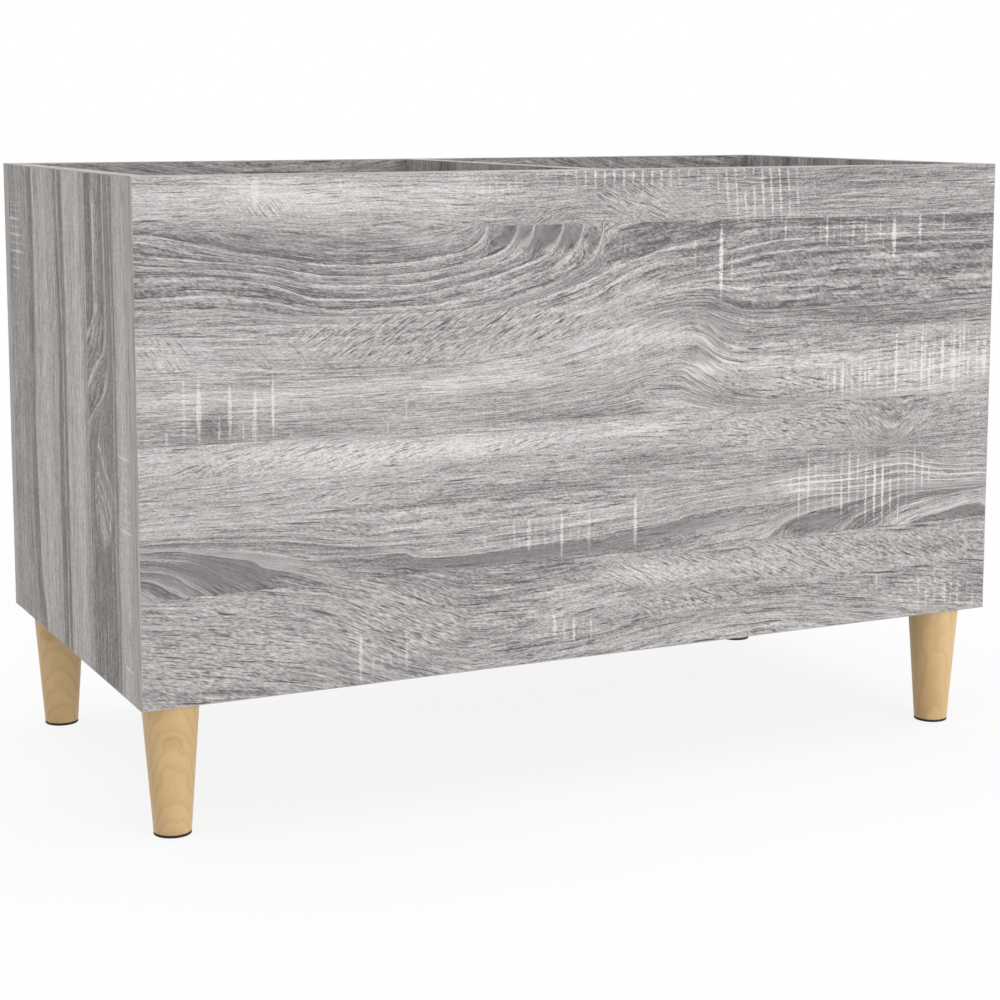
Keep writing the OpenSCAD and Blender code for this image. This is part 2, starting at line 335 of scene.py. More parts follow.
UPPER_STAVE = {
    "top": 41, "bottom": 191, "seed": 11.7, "base": 0.502,
    "lines": {
        -60: flat_line(-60),
        66: {0: 39, 25: 42, 50: 46.5, 75: 54, 100: 58.5, 125: 62.5, 150: 65.5, 180: 66.5, 200: 66,
            225: 63.5, 245: 60, 258: 56, 266: 51, 270.5: 45, 272: 36, 275: 18, 284: 0, 745: -10},
        75: {0: 54, 50: 60, 75: 63, 100: 66, 125: 71, 150: 74, 180: 75.3, 215: 73.5, 237: 71, 260: 66.5,
            280: 61, 290: 56, 295.5: 50, 297.5: 42, 299.5: 24, 308: 6, 745: -4},
        83: {0: 63, 50: 66, 75: 69, 100: 73, 125: 78, 150: 81, 200: 82.5, 225: 80.5, 250: 76.5, 270: 73,
            285: 68, 299: 62, 307: 57.5, 310.5: 52, 312: 44, 314: 28, 324: 12, 745: 0},
        91: {0: 71, 50: 72, 80: 75, 100: 78.5, 115: 83, 125: 87, 150: 90, 175: 91, 200: 90.5, 225: 87.5,
            250: 84, 270: 80.5, 290: 75, 305: 70, 320: 64, 329: 58, 334: 52, 336.5: 44, 338.5: 30, 348: 16,
            745: 6},
        98: {0: 85.5, 45: 85, 80: 86, 100: 88.5, 115: 91.5, 140: 96.5, 175: 98.5, 225: 98, 250: 94.5,
            275: 90, 300: 82.5, 320: 76, 335: 68.5, 345: 61, 351: 54.5, 353.5: 46, 355.5: 34, 366: 22,
            745: 12},
        104: {0: 94, 60: 95, 85: 98, 110: 101, 175: 104, 225: 103.5, 250: 102, 280: 98.5, 305: 92.5,
            325: 86.5, 345: 78, 358: 70.5, 366: 61, 369.5: 52, 371: 43, 374: 33, 390: 25, 745: 18},
        111: {0: 106, 100: 108, 200: 111, 275: 108, 300: 102, 325: 95, 345: 88.5, 362: 83, 378: 77,
            395: 70.5, 410: 66, 430: 60.5, 455: 57, 475: 54, 490: 51.5, 515: 47.5, 545: 46.5, 745: 48},
        119: {0: 112, 200: 119, 300: 111, 340: 102, 365: 94, 385: 84, 400: 78, 420: 73, 440: 70.5, 465: 68,
            490: 64.5, 515: 60, 540: 57.5, 640: 56, 745: 57},
        128: {0: 119, 200: 127, 300: 119, 340: 111, 365: 105, 390: 96, 415: 89, 440: 84, 465: 80, 490: 75.5,
            520: 70.5, 560: 69, 640: 66.5, 745: 65},
        138: {0: 128, 200: 136, 300: 130, 365: 117, 400: 109, 430: 105, 450: 103, 467: 103.5, 482: 107.5,
            500: 112, 530: 113, 600: 112, 745: 108},
        146: {0: 140, 200: 146, 300: 143, 365: 130, 400: 119, 430: 111, 450: 108.5, 465: 109.5, 482: 116,
            500: 120, 530: 122, 600: 122, 745: 118},
        156: {0: 152, 200: 157, 300: 155, 365: 146, 400: 136, 430: 125, 448: 120, 462: 122, 475: 130,
            490: 136, 520: 139, 600: 138, 745: 134},
        166: {0: 163, 200: 167, 300: 167, 380: 157, 415: 149, 440: 144, 452: 144, 465: 151, 480: 160,
            500: 163, 600: 163, 745: 156},
        177: {0: 177, 200: 180, 300: 177, 380: 168, 415: 160, 440: 160, 452: 166, 470: 175, 500: 182,
            560: 186, 620: 184, 745: 176},
        199: flat_line(199),
    },
    "bands": {
        58: 0.42, 65.4: 0.12, 66.1: 0.12, 66.7: 0.82, 67.6: 0.55, 74.6: 0.14, 75.4: 0.78, 76.6: 0.52,
        82.5: 0.28, 83.2: 0.72, 84.6: 0.52, 90.7: 0.1, 91.5: 0.78, 92.8: 0.5, 97.5: 0.2, 98.2: 0.74,
        99.6: 0.5, 103.4: 0.24, 104.2: 0.68, 106: 0.48, 110.4: 0.36, 111.2: 0.7, 113: 0.5, 118.4: 0.34,
        119.2: 0.68, 121: 0.5, 127.5: 0.4, 128.3: 0.72, 130.5: 0.5,
    },
    "later_bands": ((375, 440), {
        104: 0.2, 110.6: 0.2, 112.6: 0.72, 113.8: 0.4, 118.2: 0.3, 119.2: 0.84, 120.2: 0.4, 123.3: 0.24,
        125.6: 0.4, 126.5: 0.8, 127.4: 0.4, 128.6: 0.2, 129.5: 0.72, 130.3: 0.3, 131.6: 0.66, 132.3: 0.26,
        134.1: 0.76, 135.1: 0.3, 136: 0.62, 136.8: 0.24, 137.3: 0.5, 137.9: 0.04, 138.6: 0.5, 140: 0.55,
        140.8: 0.06, 141.8: 0.55, 144: 0.28, 146: 0.54, 149: 0.3, 156: 0.5,
    }),
    "nested_bands": ((320, 44, 62, 24), {
        58: 0.4, 65.6: 0.34, 66.4: 0.1, 66.9: 0.8, 67.5: 0.8, 68: 0.46, 72: 0.3, 74.5: 0.1, 75.1: 0.8,
        75.7: 0.76, 76.2: 0.4, 81.2: 0.26, 81.9: 0.72, 82.7: 0.72, 83.3: 0.3, 84.5: 0.16, 89.9: 0.14,
        90.5: 0.78, 91.2: 0.78, 91.7: 0.3, 94: 0.16, 97.2: 0.18, 97.8: 0.8, 98.4: 0.76, 98.9: 0.34,
        102.2: 0.26, 102.7: 0.66, 103.2: 0.66, 103.7: 0.26, 106: 0.22, 111: 0.3,
    }),
    "spreads": [(104, 111, 14), (128, 199, 56)],
    "tones": [
        (40, 62, 130, 26, -0.06), (60, 46, 50, 8, -0.12), (165, 54, 130, 13, -0.1), (225, 49, 44, 8, 0.16),
        (110, 43, 90, 6, -0.05), (50, 83, 50, 5, 0.14), (185, 84, 80, 7, 0.08), (120, 84, 200, 22, -0.08),
        (285, 49, 18, 12, -0.16), (306, 50, 10, 14, -0.2), (326, 51, 13, 14, -0.2), (346, 51, 10, 14, -0.2),
        (362, 53, 9, 16, -0.14), (382, 50, 12, 9, 0.06), (356, 72, 24, 10, -0.12), (422, 46, 50, 12, -0.26),
        (430, 52, 60, 9, -0.12), (480, 45, 70, 7, -0.18), (385, 66, 26, 10, -0.12), (468, 61, 16, 9, -0.14),
        (436, 50, 80, 11, -0.14), (402, 58, 44, 8, -0.12), (458, 66, 26, 7, -0.16), (342, 82, 46, 9, -0.12),
        (360, 121, 60, 5, -0.1), (620, 82, 260, 54, -0.08), (722, 67, 32, 9, -0.22), (684, 82, 22, 5, -0.1),
        (660, 128, 120, 5, -0.12), (500, 56, 50, 9, -0.1), (560, 50, 90, 8, -0.06), (600, 44, 190, 7, -0.2),
        (720, 46, 60, 9, -0.14), (640, 62, 140, 6, -0.08), (560, 73, 90, 5, -0.12), (700, 70, 70, 7, -0.14),
        (715, 86, 60, 9, -0.24), (600, 90, 160, 7, -0.1), (430, 92, 70, 6, 0.1), (350, 107, 70, 6, 0.14),
        (480, 108, 46, 5, -0.24), (600, 112, 200, 16, -0.1), (640, 122, 130, 9, -0.14),
        (70, 125, 160, 30, 0.06), (220, 120, 120, 16, -0.08), (30, 135, 60, 26, 0.1),
        (160, 130, 60, 9, -0.05), (190, 158, 260, 15, 0.16), (290, 147, 60, 17, 0.18),
        (238, 160, 30, 10, 0.14), (380, 132, 90, 24, 0.16), (410, 124, 50, 14, 0.1),
        (100, 165, 60, 12, 0.1), (25, 156, 50, 10, 0.12), (466, 158, 26, 9, 0.2), (540, 158, 120, 13, 0.2),
        (680, 166, 140, 26, 0.16), (700, 170, 70, 15, 0.1), (600, 140, 120, 10, -0.05),
        (59, 178, 22, 18, -0.3), (30, 182, 40, 10, -0.06), (140, 182, 100, 9, -0.14),
        (350, 186, 110, 8, -0.16), (400, 170, 60, 9, -0.08), (485, 180, 40, 12, -0.14),
        (560, 187, 60, 8, -0.08), (430, 184, 26, 7, 0.12), (300, 176, 80, 6, 0.06),
        (100, 190, 150, 7, -0.06), (165, 180, 110, 12, 0.12), (448, 134, 34, 10, 0.12),
        (346, 140, 40, 9, 0.08), (385, 152, 60, 10, 0.08), (525, 173, 40, 7, 0.12),
        (670, 186, 100, 7, 0.12), (30, 170, 50, 9, 0.08), (445, 190, 40, 5, 0.1), (400, 190, 220, 6, -0.08),
    ],
}

LOWER_STAVE = {
    "top": 191, "bottom": 300, "seed": 23.9, "base": 0.53,
    "lines": {
        178: flat_line(178),
        200: {0: 208, 50: 205, 100: 199, 140: 194, 190: 191, 745: 187},
        209: {0: 216, 60: 214, 100: 210, 140: 205, 180: 201, 230: 200, 400: 201, 500: 201, 560: 202,
            595: 205, 617: 210, 632: 217, 643: 223, 653: 216, 666: 208, 700: 203, 745: 202},
        222: {0: 225, 80: 224, 150: 220, 200: 218, 400: 219, 560: 220, 605: 223, 643: 229, 680: 223,
            745: 221},
        246: {0: 246, 400: 247, 520: 248, 560: 246.5, 590: 245, 612: 243.5, 640: 239.5, 655: 239.5,
            680: 245, 700: 248.5, 745: 250.5},
        256: {0: 254, 100: 257, 130: 261, 165: 266, 200: 268, 250: 267, 400: 261, 500: 256, 560: 252.5,
            600: 252.5, 620: 250.5, 640: 248.5, 655: 247.5, 680: 252, 700: 255.5, 745: 258},
        266: {0: 259, 50: 261, 100: 265, 150: 273, 200: 277, 250: 279, 300: 277, 350: 275, 400: 271,
            450: 266, 500: 263, 560: 261.5, 620: 262, 640: 260.5, 655: 259.5, 670: 261, 690: 263, 745: 266},
        276: {0: 262, 50: 266, 90: 273, 120: 279, 160: 281.5, 205: 283.5, 213: 287.5, 250: 289, 300: 287,
            350: 285, 400: 281, 440: 277.5, 452: 274.5, 475: 273, 540: 272, 565: 269.5, 590: 269,
            620: 268.5, 640: 267, 660: 265.8, 700: 267.8, 745: 270},
        286: {0: 264.5, 30: 265.5, 50: 270, 70: 274.5, 85: 278, 92: 283, 110: 288, 125: 293.5, 140: 299,
            160: 307, 200: 314, 400: 314, 450: 311, 490: 307, 520: 302, 528: 297, 540: 290, 552: 285,
            565: 282, 590: 278.8, 612: 276, 630: 272.5, 645: 270, 665: 268.6, 690: 270.4, 745: 272},
        291: {0: 270, 20: 272, 40: 276, 50: 280, 60: 287, 70: 294, 80: 299.5, 90: 306, 200: 320, 500: 322,
            580: 311, 600: 300, 611: 291.5, 625: 286, 640: 281.5, 650: 277, 660: 274.5, 680: 273.4,
            745: 274.5},
        296: {0: 278, 15: 280, 25: 283, 35: 290.5, 45: 297, 60: 309, 120: 326, 500: 330, 600: 318, 625: 306,
            637: 299, 645: 293, 655: 287, 677: 282.5, 715: 278, 745: 276},
        301: {0: 284, 10: 287, 20: 293, 32: 299.5, 50: 313, 120: 336, 600: 340, 650: 308, 672: 298,
            702: 293, 727: 288, 736: 287.5, 745: 292},
        307: {0: 293, 8: 298, 20: 306, 60: 330, 120: 346, 640: 350, 700: 324, 745: 313},
        360: flat_line(360),
    },
    "bands": {
        244: 0.5, 247: 0.34, 248: 0.6, 251: 0.5, 252: 0.3, 253: 0.55, 256: 0.36, 257: 0.64, 259: 0.48,
        262: 0.3, 263: 0.52, 264.8: 0.66, 266: 0.26, 269: 0.42, 274.8: 0.52, 275.6: 0.74, 276.2: 0.4,
        285.2: 0.5, 285.7: 0.6, 286.1: 0.08, 288: 0.26, 290: 0.36, 290.5: 0.6, 291: 0.12, 293: 0.3,
        295: 0.4, 295.6: 0.62, 296.2: 0.28, 300: 0.4, 300.6: 0.6, 301.1: 0.12, 306: 0.4,
    },
    "later_bands": ((510, 560), {
        246.4: 0.4, 247.3: 0.74, 248.5: 0.38, 250.1: 0.36, 251.1: 0.86, 252.2: 0.36, 255.5: 0.34,
        256.1: 0.86, 256.9: 0.86, 257.8: 0.36, 260.4: 0.34, 261.1: 0.9, 261.9: 0.9, 262.8: 0.36, 267: 0.36,
        267.7: 0.86, 268.5: 0.86, 269.4: 0.36, 274.8: 0.42, 275.6: 0.88, 276.7: 0.3, 284.6: 0.46,
        285.4: 0.8, 286.1: 0.08, 288: 0.22, 290.4: 0.56, 291: 0.1, 295.3: 0.4, 295.7: 0.72, 296.1: 0.4,
        300.6: 0.74, 301.1: 0.12,
    }),
    "spreads": [(276, 286, 13), (286, 301, 24), (301, 313, 12)],
    "shadows": [
        (266, 14, (-40, 230), -0.16), (276, 16, (110, 500), -0.26), (276, 5, (440, 620), -0.14),
        (286, 16, (30, 160), -0.28), (286, 14, (528, 660), -0.14), (291, 6, (-60, 120), -0.14),
        (291, 7, (590, 760), -0.16), (296, 6, (-60, 90), -0.14), (301, 6, (-60, 70), -0.18),
        (301, 9, (672, 760), -0.24),
    ],
    "tones": [
        (60, 198, 160, 14, 0.16), (190, 208, 140, 18, 0.2), (300, 204, 130, 14, 0.16),
        (405, 203, 60, 11, 0.24), (480, 200, 60, 12, 0.04), (100, 222, 140, 14, 0.08),
        (60, 246, 160, 13, 0.1), (330, 242, 160, 12, -0.14), (420, 228, 90, 14, -0.12),
        (540, 238, 130, 16, -0.08), (640, 230, 70, 12, -0.08), (634, 238, 18, 7, -0.26),
        (700, 226, 60, 12, -0.06), (240, 262, 130, 11, 0.06), (380, 266, 90, 12, 0.08),
        (520, 262, 90, 9, 0.12), (560, 256, 60, 8, 0.12), (40, 258, 90, 8, -0.04), (115, 282, 24, 5, 0.08),
        (30, 278, 60, 10, -0.08), (240, 281, 80, 4, 0.04), (490, 294, 50, 7, 0.06), (532, 298, 22, 5, 0.2),
        (574, 292, 30, 7, 0.06), (646, 297, 16, 5, 0.06), (640, 256, 18, 7, -0.1), (740, 205, 30, 16, 0.08),
        (720, 262, 40, 9, 0.04), (600, 270, 60, 8, -0.04), (230, 245, 60, 10, -0.04),
        (15, 210, 34, 6, 0.12), (325, 279, 34, 4, -0.1), (665, 241, 18, 5, -0.14),
    ],
}

FOOT_STAVE = {
    "top": 300, "bottom": 380, "seed": 37.3, "base": 0.48,
    "lines": {
        215: flat_line(215),
        256: {0: 257, 150: 267, 200: 280, 260: 296, 300: 298, 745: 296},
        271: {0: 272, 120: 282, 150: 286, 180: 294, 210: 304, 240: 313, 265: 318, 300: 319, 400: 312,
            500: 310, 600: 315, 745: 329},
        286: {0: 287, 60: 292, 120: 299, 150: 305, 180: 315, 210: 327, 240: 337, 265: 341, 300: 341,
            400: 333, 500: 330, 600: 337, 690: 347, 745: 354},
        301: {0: 302, 60: 308, 120: 317, 150: 325, 180: 337, 210: 349, 240: 358, 265: 362, 300: 361,
            365: 357, 415: 351, 465: 348, 540: 350, 615: 360, 690: 372, 745: 380},
        313: {0: 314, 60: 321, 120: 331, 150: 339, 180: 351, 210: 363, 240: 372, 265: 376, 300: 375,
            365: 372, 440: 363, 515: 361, 590: 368, 650: 378, 745: 392},
        323: {0: 324, 60: 332, 120: 343, 150: 352, 200: 374, 260: 389, 365: 385, 440: 374, 515: 370,
            590: 378, 745: 404},
        345: {0: 346, 60: 356, 120: 367, 160: 379, 260: 402, 745: 412},
        380: flat_line(419),
    },
    "bands": {
        296: 0.5, 298: 0.4, 300: 0.55, 301.4: 0.38, 303: 0.58, 306.5: 0.44, 309: 0.54, 312.3: 0.4,
        313: 0.62, 315: 0.46, 318: 0.58, 322.2: 0.42, 323: 0.62, 326: 0.5,
    },
    "tones": [
        (330, 304, 60, 10, -0.22), (250, 308, 80, 14, -0.1), (350, 312, 60, 9, -0.1),
        (250, 326, 70, 10, -0.08), (410, 318, 80, 12, 0.2), (480, 325, 90, 14, 0.06),
        (345, 336, 60, 12, 0.14), (340, 352, 36, 14, 0.14), (60, 330, 90, 8, -0.04),
        (110, 350, 30, 14, 0.08), (170, 350, 16, 16, 0.08), (60, 308, 60, 9, 0.04), (410, 357, 60, 8, -0.1),
        (560, 330, 90, 10, 0.04), (560, 341, 120, 4, -0.08), (725, 355, 40, 22, -0.18),
        (640, 344, 90, 6, -0.1), (680, 320, 80, 14, -0.06), (520, 316, 40, 12, 0.06),
        (180, 372, 90, 6, -0.02), (40, 372, 80, 6, -0.04), (500, 370, 120, 9, 0.06), (385, 371, 36, 8, 0.1),
        (228, 350, 30, 7, 0.1), (302, 318, 30, 6, -0.12), (700, 322, 36, 8, -0.12), (612, 344, 24, 5, 0.1),
    ],
}

FRONT_STAVES = [TOP_STAVE, UPPER_STAVE, LOWER_STAVE, FOOT_STAVE]

# Where the pores lie at a slant to the grain: {angle in degrees: patches}, a rise to the right positive
FRONT_SLANTS = {
    -25: [(200, 334, 80, 42, 1.5), (420, 316, 90, 20, 1.2), (560, 318, 130, 26, 1.2),
        (690, 322, 70, 24, 1.2), (440, 344, 110, 14, 1.0), (400, 22, 60, 20, 1.1), (440, 38, 90, 10, 0.5),
        (485, 170, 30, 22, 0.7)],
    -11: [(60, 346, 120, 34, 1.4), (70, 312, 90, 16, 0.8), (540, 212, 120, 20, 1.2),
        (700, 356, 70, 24, 0.8), (560, 172, 90, 14, 0.8)],
    30: [(220, 121, 150, 28, 1.8), (320, 114, 70, 16, 1.0), (400, 132, 40, 18, 0.7),
        (670, 215, 26, 20, 0.8), (320, 36, 50, 10, 0.8)],
    14: [(140, 206, 130, 18, 1.2), (60, 210, 70, 12, 0.7), (160, 236, 80, 10, 0.8),
        (300, 206, 120, 14, 0.8)],
    -52: [(22, 124, 44, 28, 0.6), (110, 128, 70, 20, 0.4), (618, 216, 34, 22, 0.9), (100, 24, 60, 18, 0.6),
        (440, 135, 20, 16, 0.5), (58, 178, 16, 14, 0.6)],
}

# Where the print is smooth, with little fine grain
FRONT_CALM = [
    (318, 50, 66, 16, 1.0), (60, 284, 96, 20, 0.9), (200, 48, 100, 14, 0.4), (575, 290, 60, 12, 0.8),
    (718, 293, 56, 9, 0.9), (300, 292, 190, 9, 0.8), (450, 284, 100, 10, 0.7), (90, 50, 60, 10, 0.4),
]
SIDE_CALM = [(60, 300, 110, 24, 0.5), (235, 294, 58, 30, 0.3)]

# Saw marks: single strokes (x, from d, to d, half width, amount), and combs of strokes that repeat
# over a patch, (x of one stroke, period, lean, patch)
FRONT_SAW_STROKES = [
    (90, 0, 24, 4.0, 0.2), (155, 3, 14, 1.6, 0.16), (477, 40, 104, 2.4, 0.5), (453, 52, 78, 1.8, 0.2),
    (487, 66, 90, 1.2, 0.2), (537, 40, 60, 1.6, 0.3), (577, 40, 66, 1.6, 0.28), (615, 40, 66, 1.4, 0.22),
    (602, 42, 70, 1.0, 0.16), (523, 42, 62, 1.0, 0.14), (590, 41, 50, 1.0, 0.14), (629, 42, 62, 1.2, 0.2),
    (632, 58, 76, 1.0, 0.2), (643, 38, 78, 2.6, 0.46), (669, 38, 66, 1.8, 0.34), (693, 40, 54, 1.6, 0.3),
    (46, 142, 191, 2.2, 0.36), (69, 146, 191, 1.9, 0.32), (101.5, 140, 191, 1.4, 0.36),
    (61, 170, 191, 1.3, 0.3), (88, 150, 191, 1.6, 0.26), (86, 172, 191, 0.8, 0.24),
    (79, 176, 191, 0.9, 0.24), (35, 140, 191, 1.8, 0.14), (22, 180, 191, 1.2, 0.24),
    (115, 182, 191, 1.0, 0.2), (191, 182, 191, 1.0, 0.2), (206, 168, 182, 1.2, 0.18),
    (648, 136, 191, 1.7, 0.3), (674, 130, 191, 1.6, 0.3), (682, 152, 191, 1.6, 0.26),
    (707, 138, 191, 2.2, 0.32), (717, 126, 180, 1.5, 0.26), (695, 144, 180, 2.4, 0.24),
    (738, 144, 180, 2.6, 0.24), (595, 156, 190, 1.6, 0.22), (587, 160, 186, 1.3, 0.18),
    (580, 166, 191, 1.1, 0.2), (617, 158, 180, 1.4, 0.18), (663, 158, 188, 1.4, 0.18),
    (401, 254, 300, 2.2, 0.32), (336, 262, 300, 1.7, 0.28), (360, 262, 300, 1.4, 0.22),
    (308, 266, 294, 2.0, 0.22), (295, 264, 288, 1.6, 0.2), (270, 274, 286, 1.0, 0.16),
    (629, 238, 300, 1.7, 0.34), (637, 246, 300, 1.7, 0.34), (645, 262, 292, 1.4, 0.3),
    (653, 273, 296, 1.2, 0.26), (620, 252, 300, 1.2, 0.22), (554, 246, 292, 1.1, 0.26),
    (563, 230, 284, 1.4, 0.24), (546, 248, 266, 0.9, 0.2), (570, 236, 252, 1.0, 0.18),
    (603, 230, 276, 1.2, 0.2), (596, 256, 292, 1.2, 0.22), (669, 234, 262, 1.3, 0.3),
    (677, 238, 274, 1.2, 0.24), (684, 248, 270, 1.0, 0.2), (168, 340, 380, 1.9, 0.3),
    (205, 340, 374, 1.3, 0.18), (330, 342, 362, 1.6, 0.28), (338, 346, 362, 1.2, 0.2),
    (347, 348, 368, 1.8, 0.2), (362, 346, 368, 1.4, 0.18), (633, 338, 354, 1.3, 0.18),
    (676, 344, 362, 1.2, 0.2), (704, 348, 380, 1.3, 0.2), (717, 348, 380, 1.4, 0.16),
    (733, 360, 380, 1.2, 0.2),
]
FRONT_SAW_COMBS = [
    (497, 8.2, 0.08, (514, 14, 66, 42, 0.42)), (480, 8.3, 0.0, (390, 0, 120, 22, 0.4)),
    (577, 6.6, 0.0, (588, 52, 60, 16, 0.2)), (617, 6.0, 0.0, (600, 174, 40, 18, 0.18)),
    (740, 9.0, 0.0, (706, 158, 84, 34, 0.26)), (586, 8.8, 0.0, (620, 172, 64, 22, 0.24)),
    (620, 8.2, 0.0, (620, 262, 90, 40, 0.26)), (336, 7.4, 0.0, (330, 278, 70, 20, 0.14)),
    (355, 8.0, 0.0, (346, 356, 30, 14, 0.2)), (693, 8.6, 0.0, (700, 362, 50, 20, 0.2)),
    (192, 7.0, 0.0, (190, 364, 40, 14, 0.14)), (280, 5.4, 0.0, (285, 12, 40, 12, 0.18)),
    (300, 6.2, 0.0, (290, 182, 70, 12, 0.1)),
]

# The left side's sheet: d runs from the back edge to the front edge, x from the rim down
SIDE_BACK_STAVE = {
    "top": 0, "bottom": 256, "seed": 51.3, "base": 0.5, "depth": 0.98,
    "lines": {
        -10: flat_line(-10),
        76: {0: 77, 60: 80, 150: 77, 230: 75, 300: 78, 340: 84, 380: 96, 745: 96},
        92: {0: 92, 60: 96, 150: 94, 230: 90, 300: 94, 340: 100, 380: 112, 745: 112},
        168: {0: 160, 60: 166, 120: 172, 150: 172, 200: 169, 380: 169, 745: 169},
        182: {0: 176, 60: 178, 110: 181, 150: 183, 200: 182, 380: 182, 745: 182},
        192: {0: 190, 100: 192, 200: 192, 380: 192, 745: 192},
        270: flat_line(270),
    },
    "bands": {
        -10: 0.5, 14: 0.42, 30: 0.4, 46: 0.46, 64: 0.4, 74: 0.46, 77: 0.2, 81: 0.28, 86: 0.12, 91: 0.22,
        93.5: 0.52, 97: 0.68, 112: 0.56, 130: 0.64, 150: 0.58, 164: 0.5, 169: 0.3, 173: 0.14, 178: 0.2,
        181: 0.56, 183: 0.6, 185: 0.24, 190: 0.2, 192.5: 0.5, 196: 0.68, 215: 0.6, 236: 0.66, 250: 0.5,
        270: 0.5,
    },
    "tones": [
        (30, 166, 60, 12, 0.14), (300, 176, 150, 10, -0.22), (130, 176, 70, 8, -0.06),
        (320, 90, 80, 9, -0.12), (200, 125, 260, 26, 0.06), (180, 228, 300, 24, 0.1),
        (60, 25, 120, 20, -0.06), (10, 105, 34, 8, -0.16), (340, 40, 60, 22, 0.06),
        (200, 60, 90, 14, -0.05),
    ],
}

SIDE_FRONT_STAVE = {
    "top": 256, "bottom": 380, "seed": 67.9, "base": 0.5, "depth": 0.98,
    "lines": {
        200: flat_line(150),
        262: {0: 277, 60: 277, 92: 278, 103: 277, 110: 272, 117: 262, 124: 254, 134: 246, 160: 238,
            745: 225},
        272: {0: 305, 60: 306, 110: 308, 128: 304, 134: 296, 139: 282, 150: 265, 160: 255, 175: 247,
            745: 232},
        282: {0: 312, 100: 314, 140: 313, 155: 306, 163: 297, 172: 281, 180: 266, 188: 256, 202: 248,
            745: 238},
        322: {0: 316, 60: 318, 140: 322, 250: 319, 330: 322, 745: 322},
        331: {0: 328, 60: 329, 140: 332, 250: 330, 745: 331},
        400: flat_line(400),
    },
    "bands": {
        200: 0.24, 240: 0.2, 255: 0.12, 261: 0.28, 262: 0.92, 263.4: 0.5, 266: 0.36, 270: 0.24, 271.3: 0.3,
        272.2: 0.88, 273.6: 0.42, 278: 0.26, 281.2: 0.22, 282.2: 0.86, 284: 0.46, 288: 0.3, 296: 0.22,
        304: 0.34, 312: 0.2, 318: 0.3, 322: 0.14, 324.5: 0.5, 328: 0.34, 330.4: 0.2, 332.5: 0.6, 345: 0.66,
        360: 0.6, 400: 0.55,
    },
    "crests": (280, 0.9, 16, (235, 294, 58, 34), {
        192: 0.3, 199: 0.36, 200.6: 0.95, 203: 0.42, 212: 0.3, 220: 0.36, 222: 0.85, 224.5: 0.4, 231: 0.3,
        234: 0.8, 236: 0.36, 243: 0.3, 245: 0.8, 247: 0.36, 252: 0.78, 254: 0.34, 260: 0.72, 262: 0.32,
        270: 0.66, 272: 0.32, 290: 0.3,
    }),
    "tones": [
        (40, 266, 90, 10, -0.16), (330, 290, 110, 34, -0.08), (160, 290, 60, 20, 0.06),
        (200, 350, 260, 20, 0.08),
    ],
}

SIDE_STAVES = [SIDE_BACK_STAVE, SIDE_FRONT_STAVE]
SIDE_SLANTS = {
    -30: [(120, 40, 90, 34, 0.6), (260, 350, 60, 20, 0.5)],
    24: [(200, 225, 120, 24, 0.5)],
}
SIDE_SAW_STROKES = [
    (45, 12, 52, 1.6, 0.3), (58, 14, 66, 1.5, 0.26), (72, 16, 70, 1.5, 0.24), (86, 20, 56, 1.3, 0.2),
    (34, 24, 50, 1.2, 0.2), (202, 330, 362, 1.4, 0.3), (255, 332, 368, 1.4, 0.32),
    (356, 340, 364, 1.4, 0.28),
]
SIDE_SAW_COMBS = [(45, 6.8, 0.0, (60, 34, 62, 30, 0.24)), (202, 7.5, 0.0, (230, 350, 70, 16, 0.12))]

# Greys of the decor from its darkest streaks to its palest, and the tint of its dark and of its pale parts
DECOR_GREYS = [(0.0, 92), (0.2, 123), (0.38, 149), (0.52, 171), (0.68, 191), (0.84, 209), (1.0, 226)]
FRONT_TINTS = ((1.062, 0.984, 0.981, 1), (1.022, 0.996, 0.979, 1))
# The left side's tints are warmer and a little darker than the front's: painted warm shade, standing in for
# the warmer light that reaches that side
SIDE_WARM_SHADE_TINTS = ((1.052, 0.958, 0.926, 1), (1.022, 0.974, 0.936, 1))
FILM_ROUGHNESS = 0.46
# Tones between which the tint changes, and the share of the ground and of the fine grain in it
TINT_LOW = 0.46
TINT_HIGH = 0.66
TINT_GROUND = 0.6

# A band of this tone leaves the stave as it is, and the others count by this depth
MIDDLE_TONE = 0.5
BAND_DEPTH = 0.7
# Overlap of a stave with the next one, so that no place falls between them
STAVE_JOINT = 0.001
# The ground of a stave, raised a little, comes down to the darkest tone with a soft knee
GROUND_LIFT = 0.02
DARKEST_GROUND = 0.22
DARK_KNEE = 0.12
# Share of the long streaks and of the saw marks that changes the tint too
GROUND_STREAKS = 0.6
GROUND_SAW = 0.5
# A patch with bands or slanting pores of its own takes over between these strengths
NEST_FADE = (0.1, 0.5)
SLANT_FADE = (0.1, 0.9)

# How far the hand of the print strays, in millimetres: slowly, and quickly across and along
SLOW_SWAY = 4.0
QUICK_SWAY = 1.1
QUICK_PUSH = 2.4
# The fine grain: tone of the long streaks, of the short ones and of the speckle
LONG_STREAK_TONE = 0.66
STREAK_TONE = 0.8
FLECK_TONE = 1.1
# Pores, pale threads and slanting cuts: (length, height, seed, least noise, tone)
LONG_PORES = (36.0, 1.0, 14, 0.635, 0.56)
SHORT_PORES = (10.0, 0.9, 29, 0.61, 0.32)
THREADS = (34.0, 0.9, 17, 0.62, 0.26)
LONG_CUTS = (34.0, 1.5, 9, 0.605, 0.42)
SHORT_CUTS = (12.0, 1.2, 3, 0.59, 0.46)
CUT_MOTTLE = 1.05
CUT_LIGHT = 0.08
# Share of the straight grain that slanting cuts replace, and what a calm place leaves of the grain
CUT_SHARE = 0.85
CALM_GRAIN = 0.3

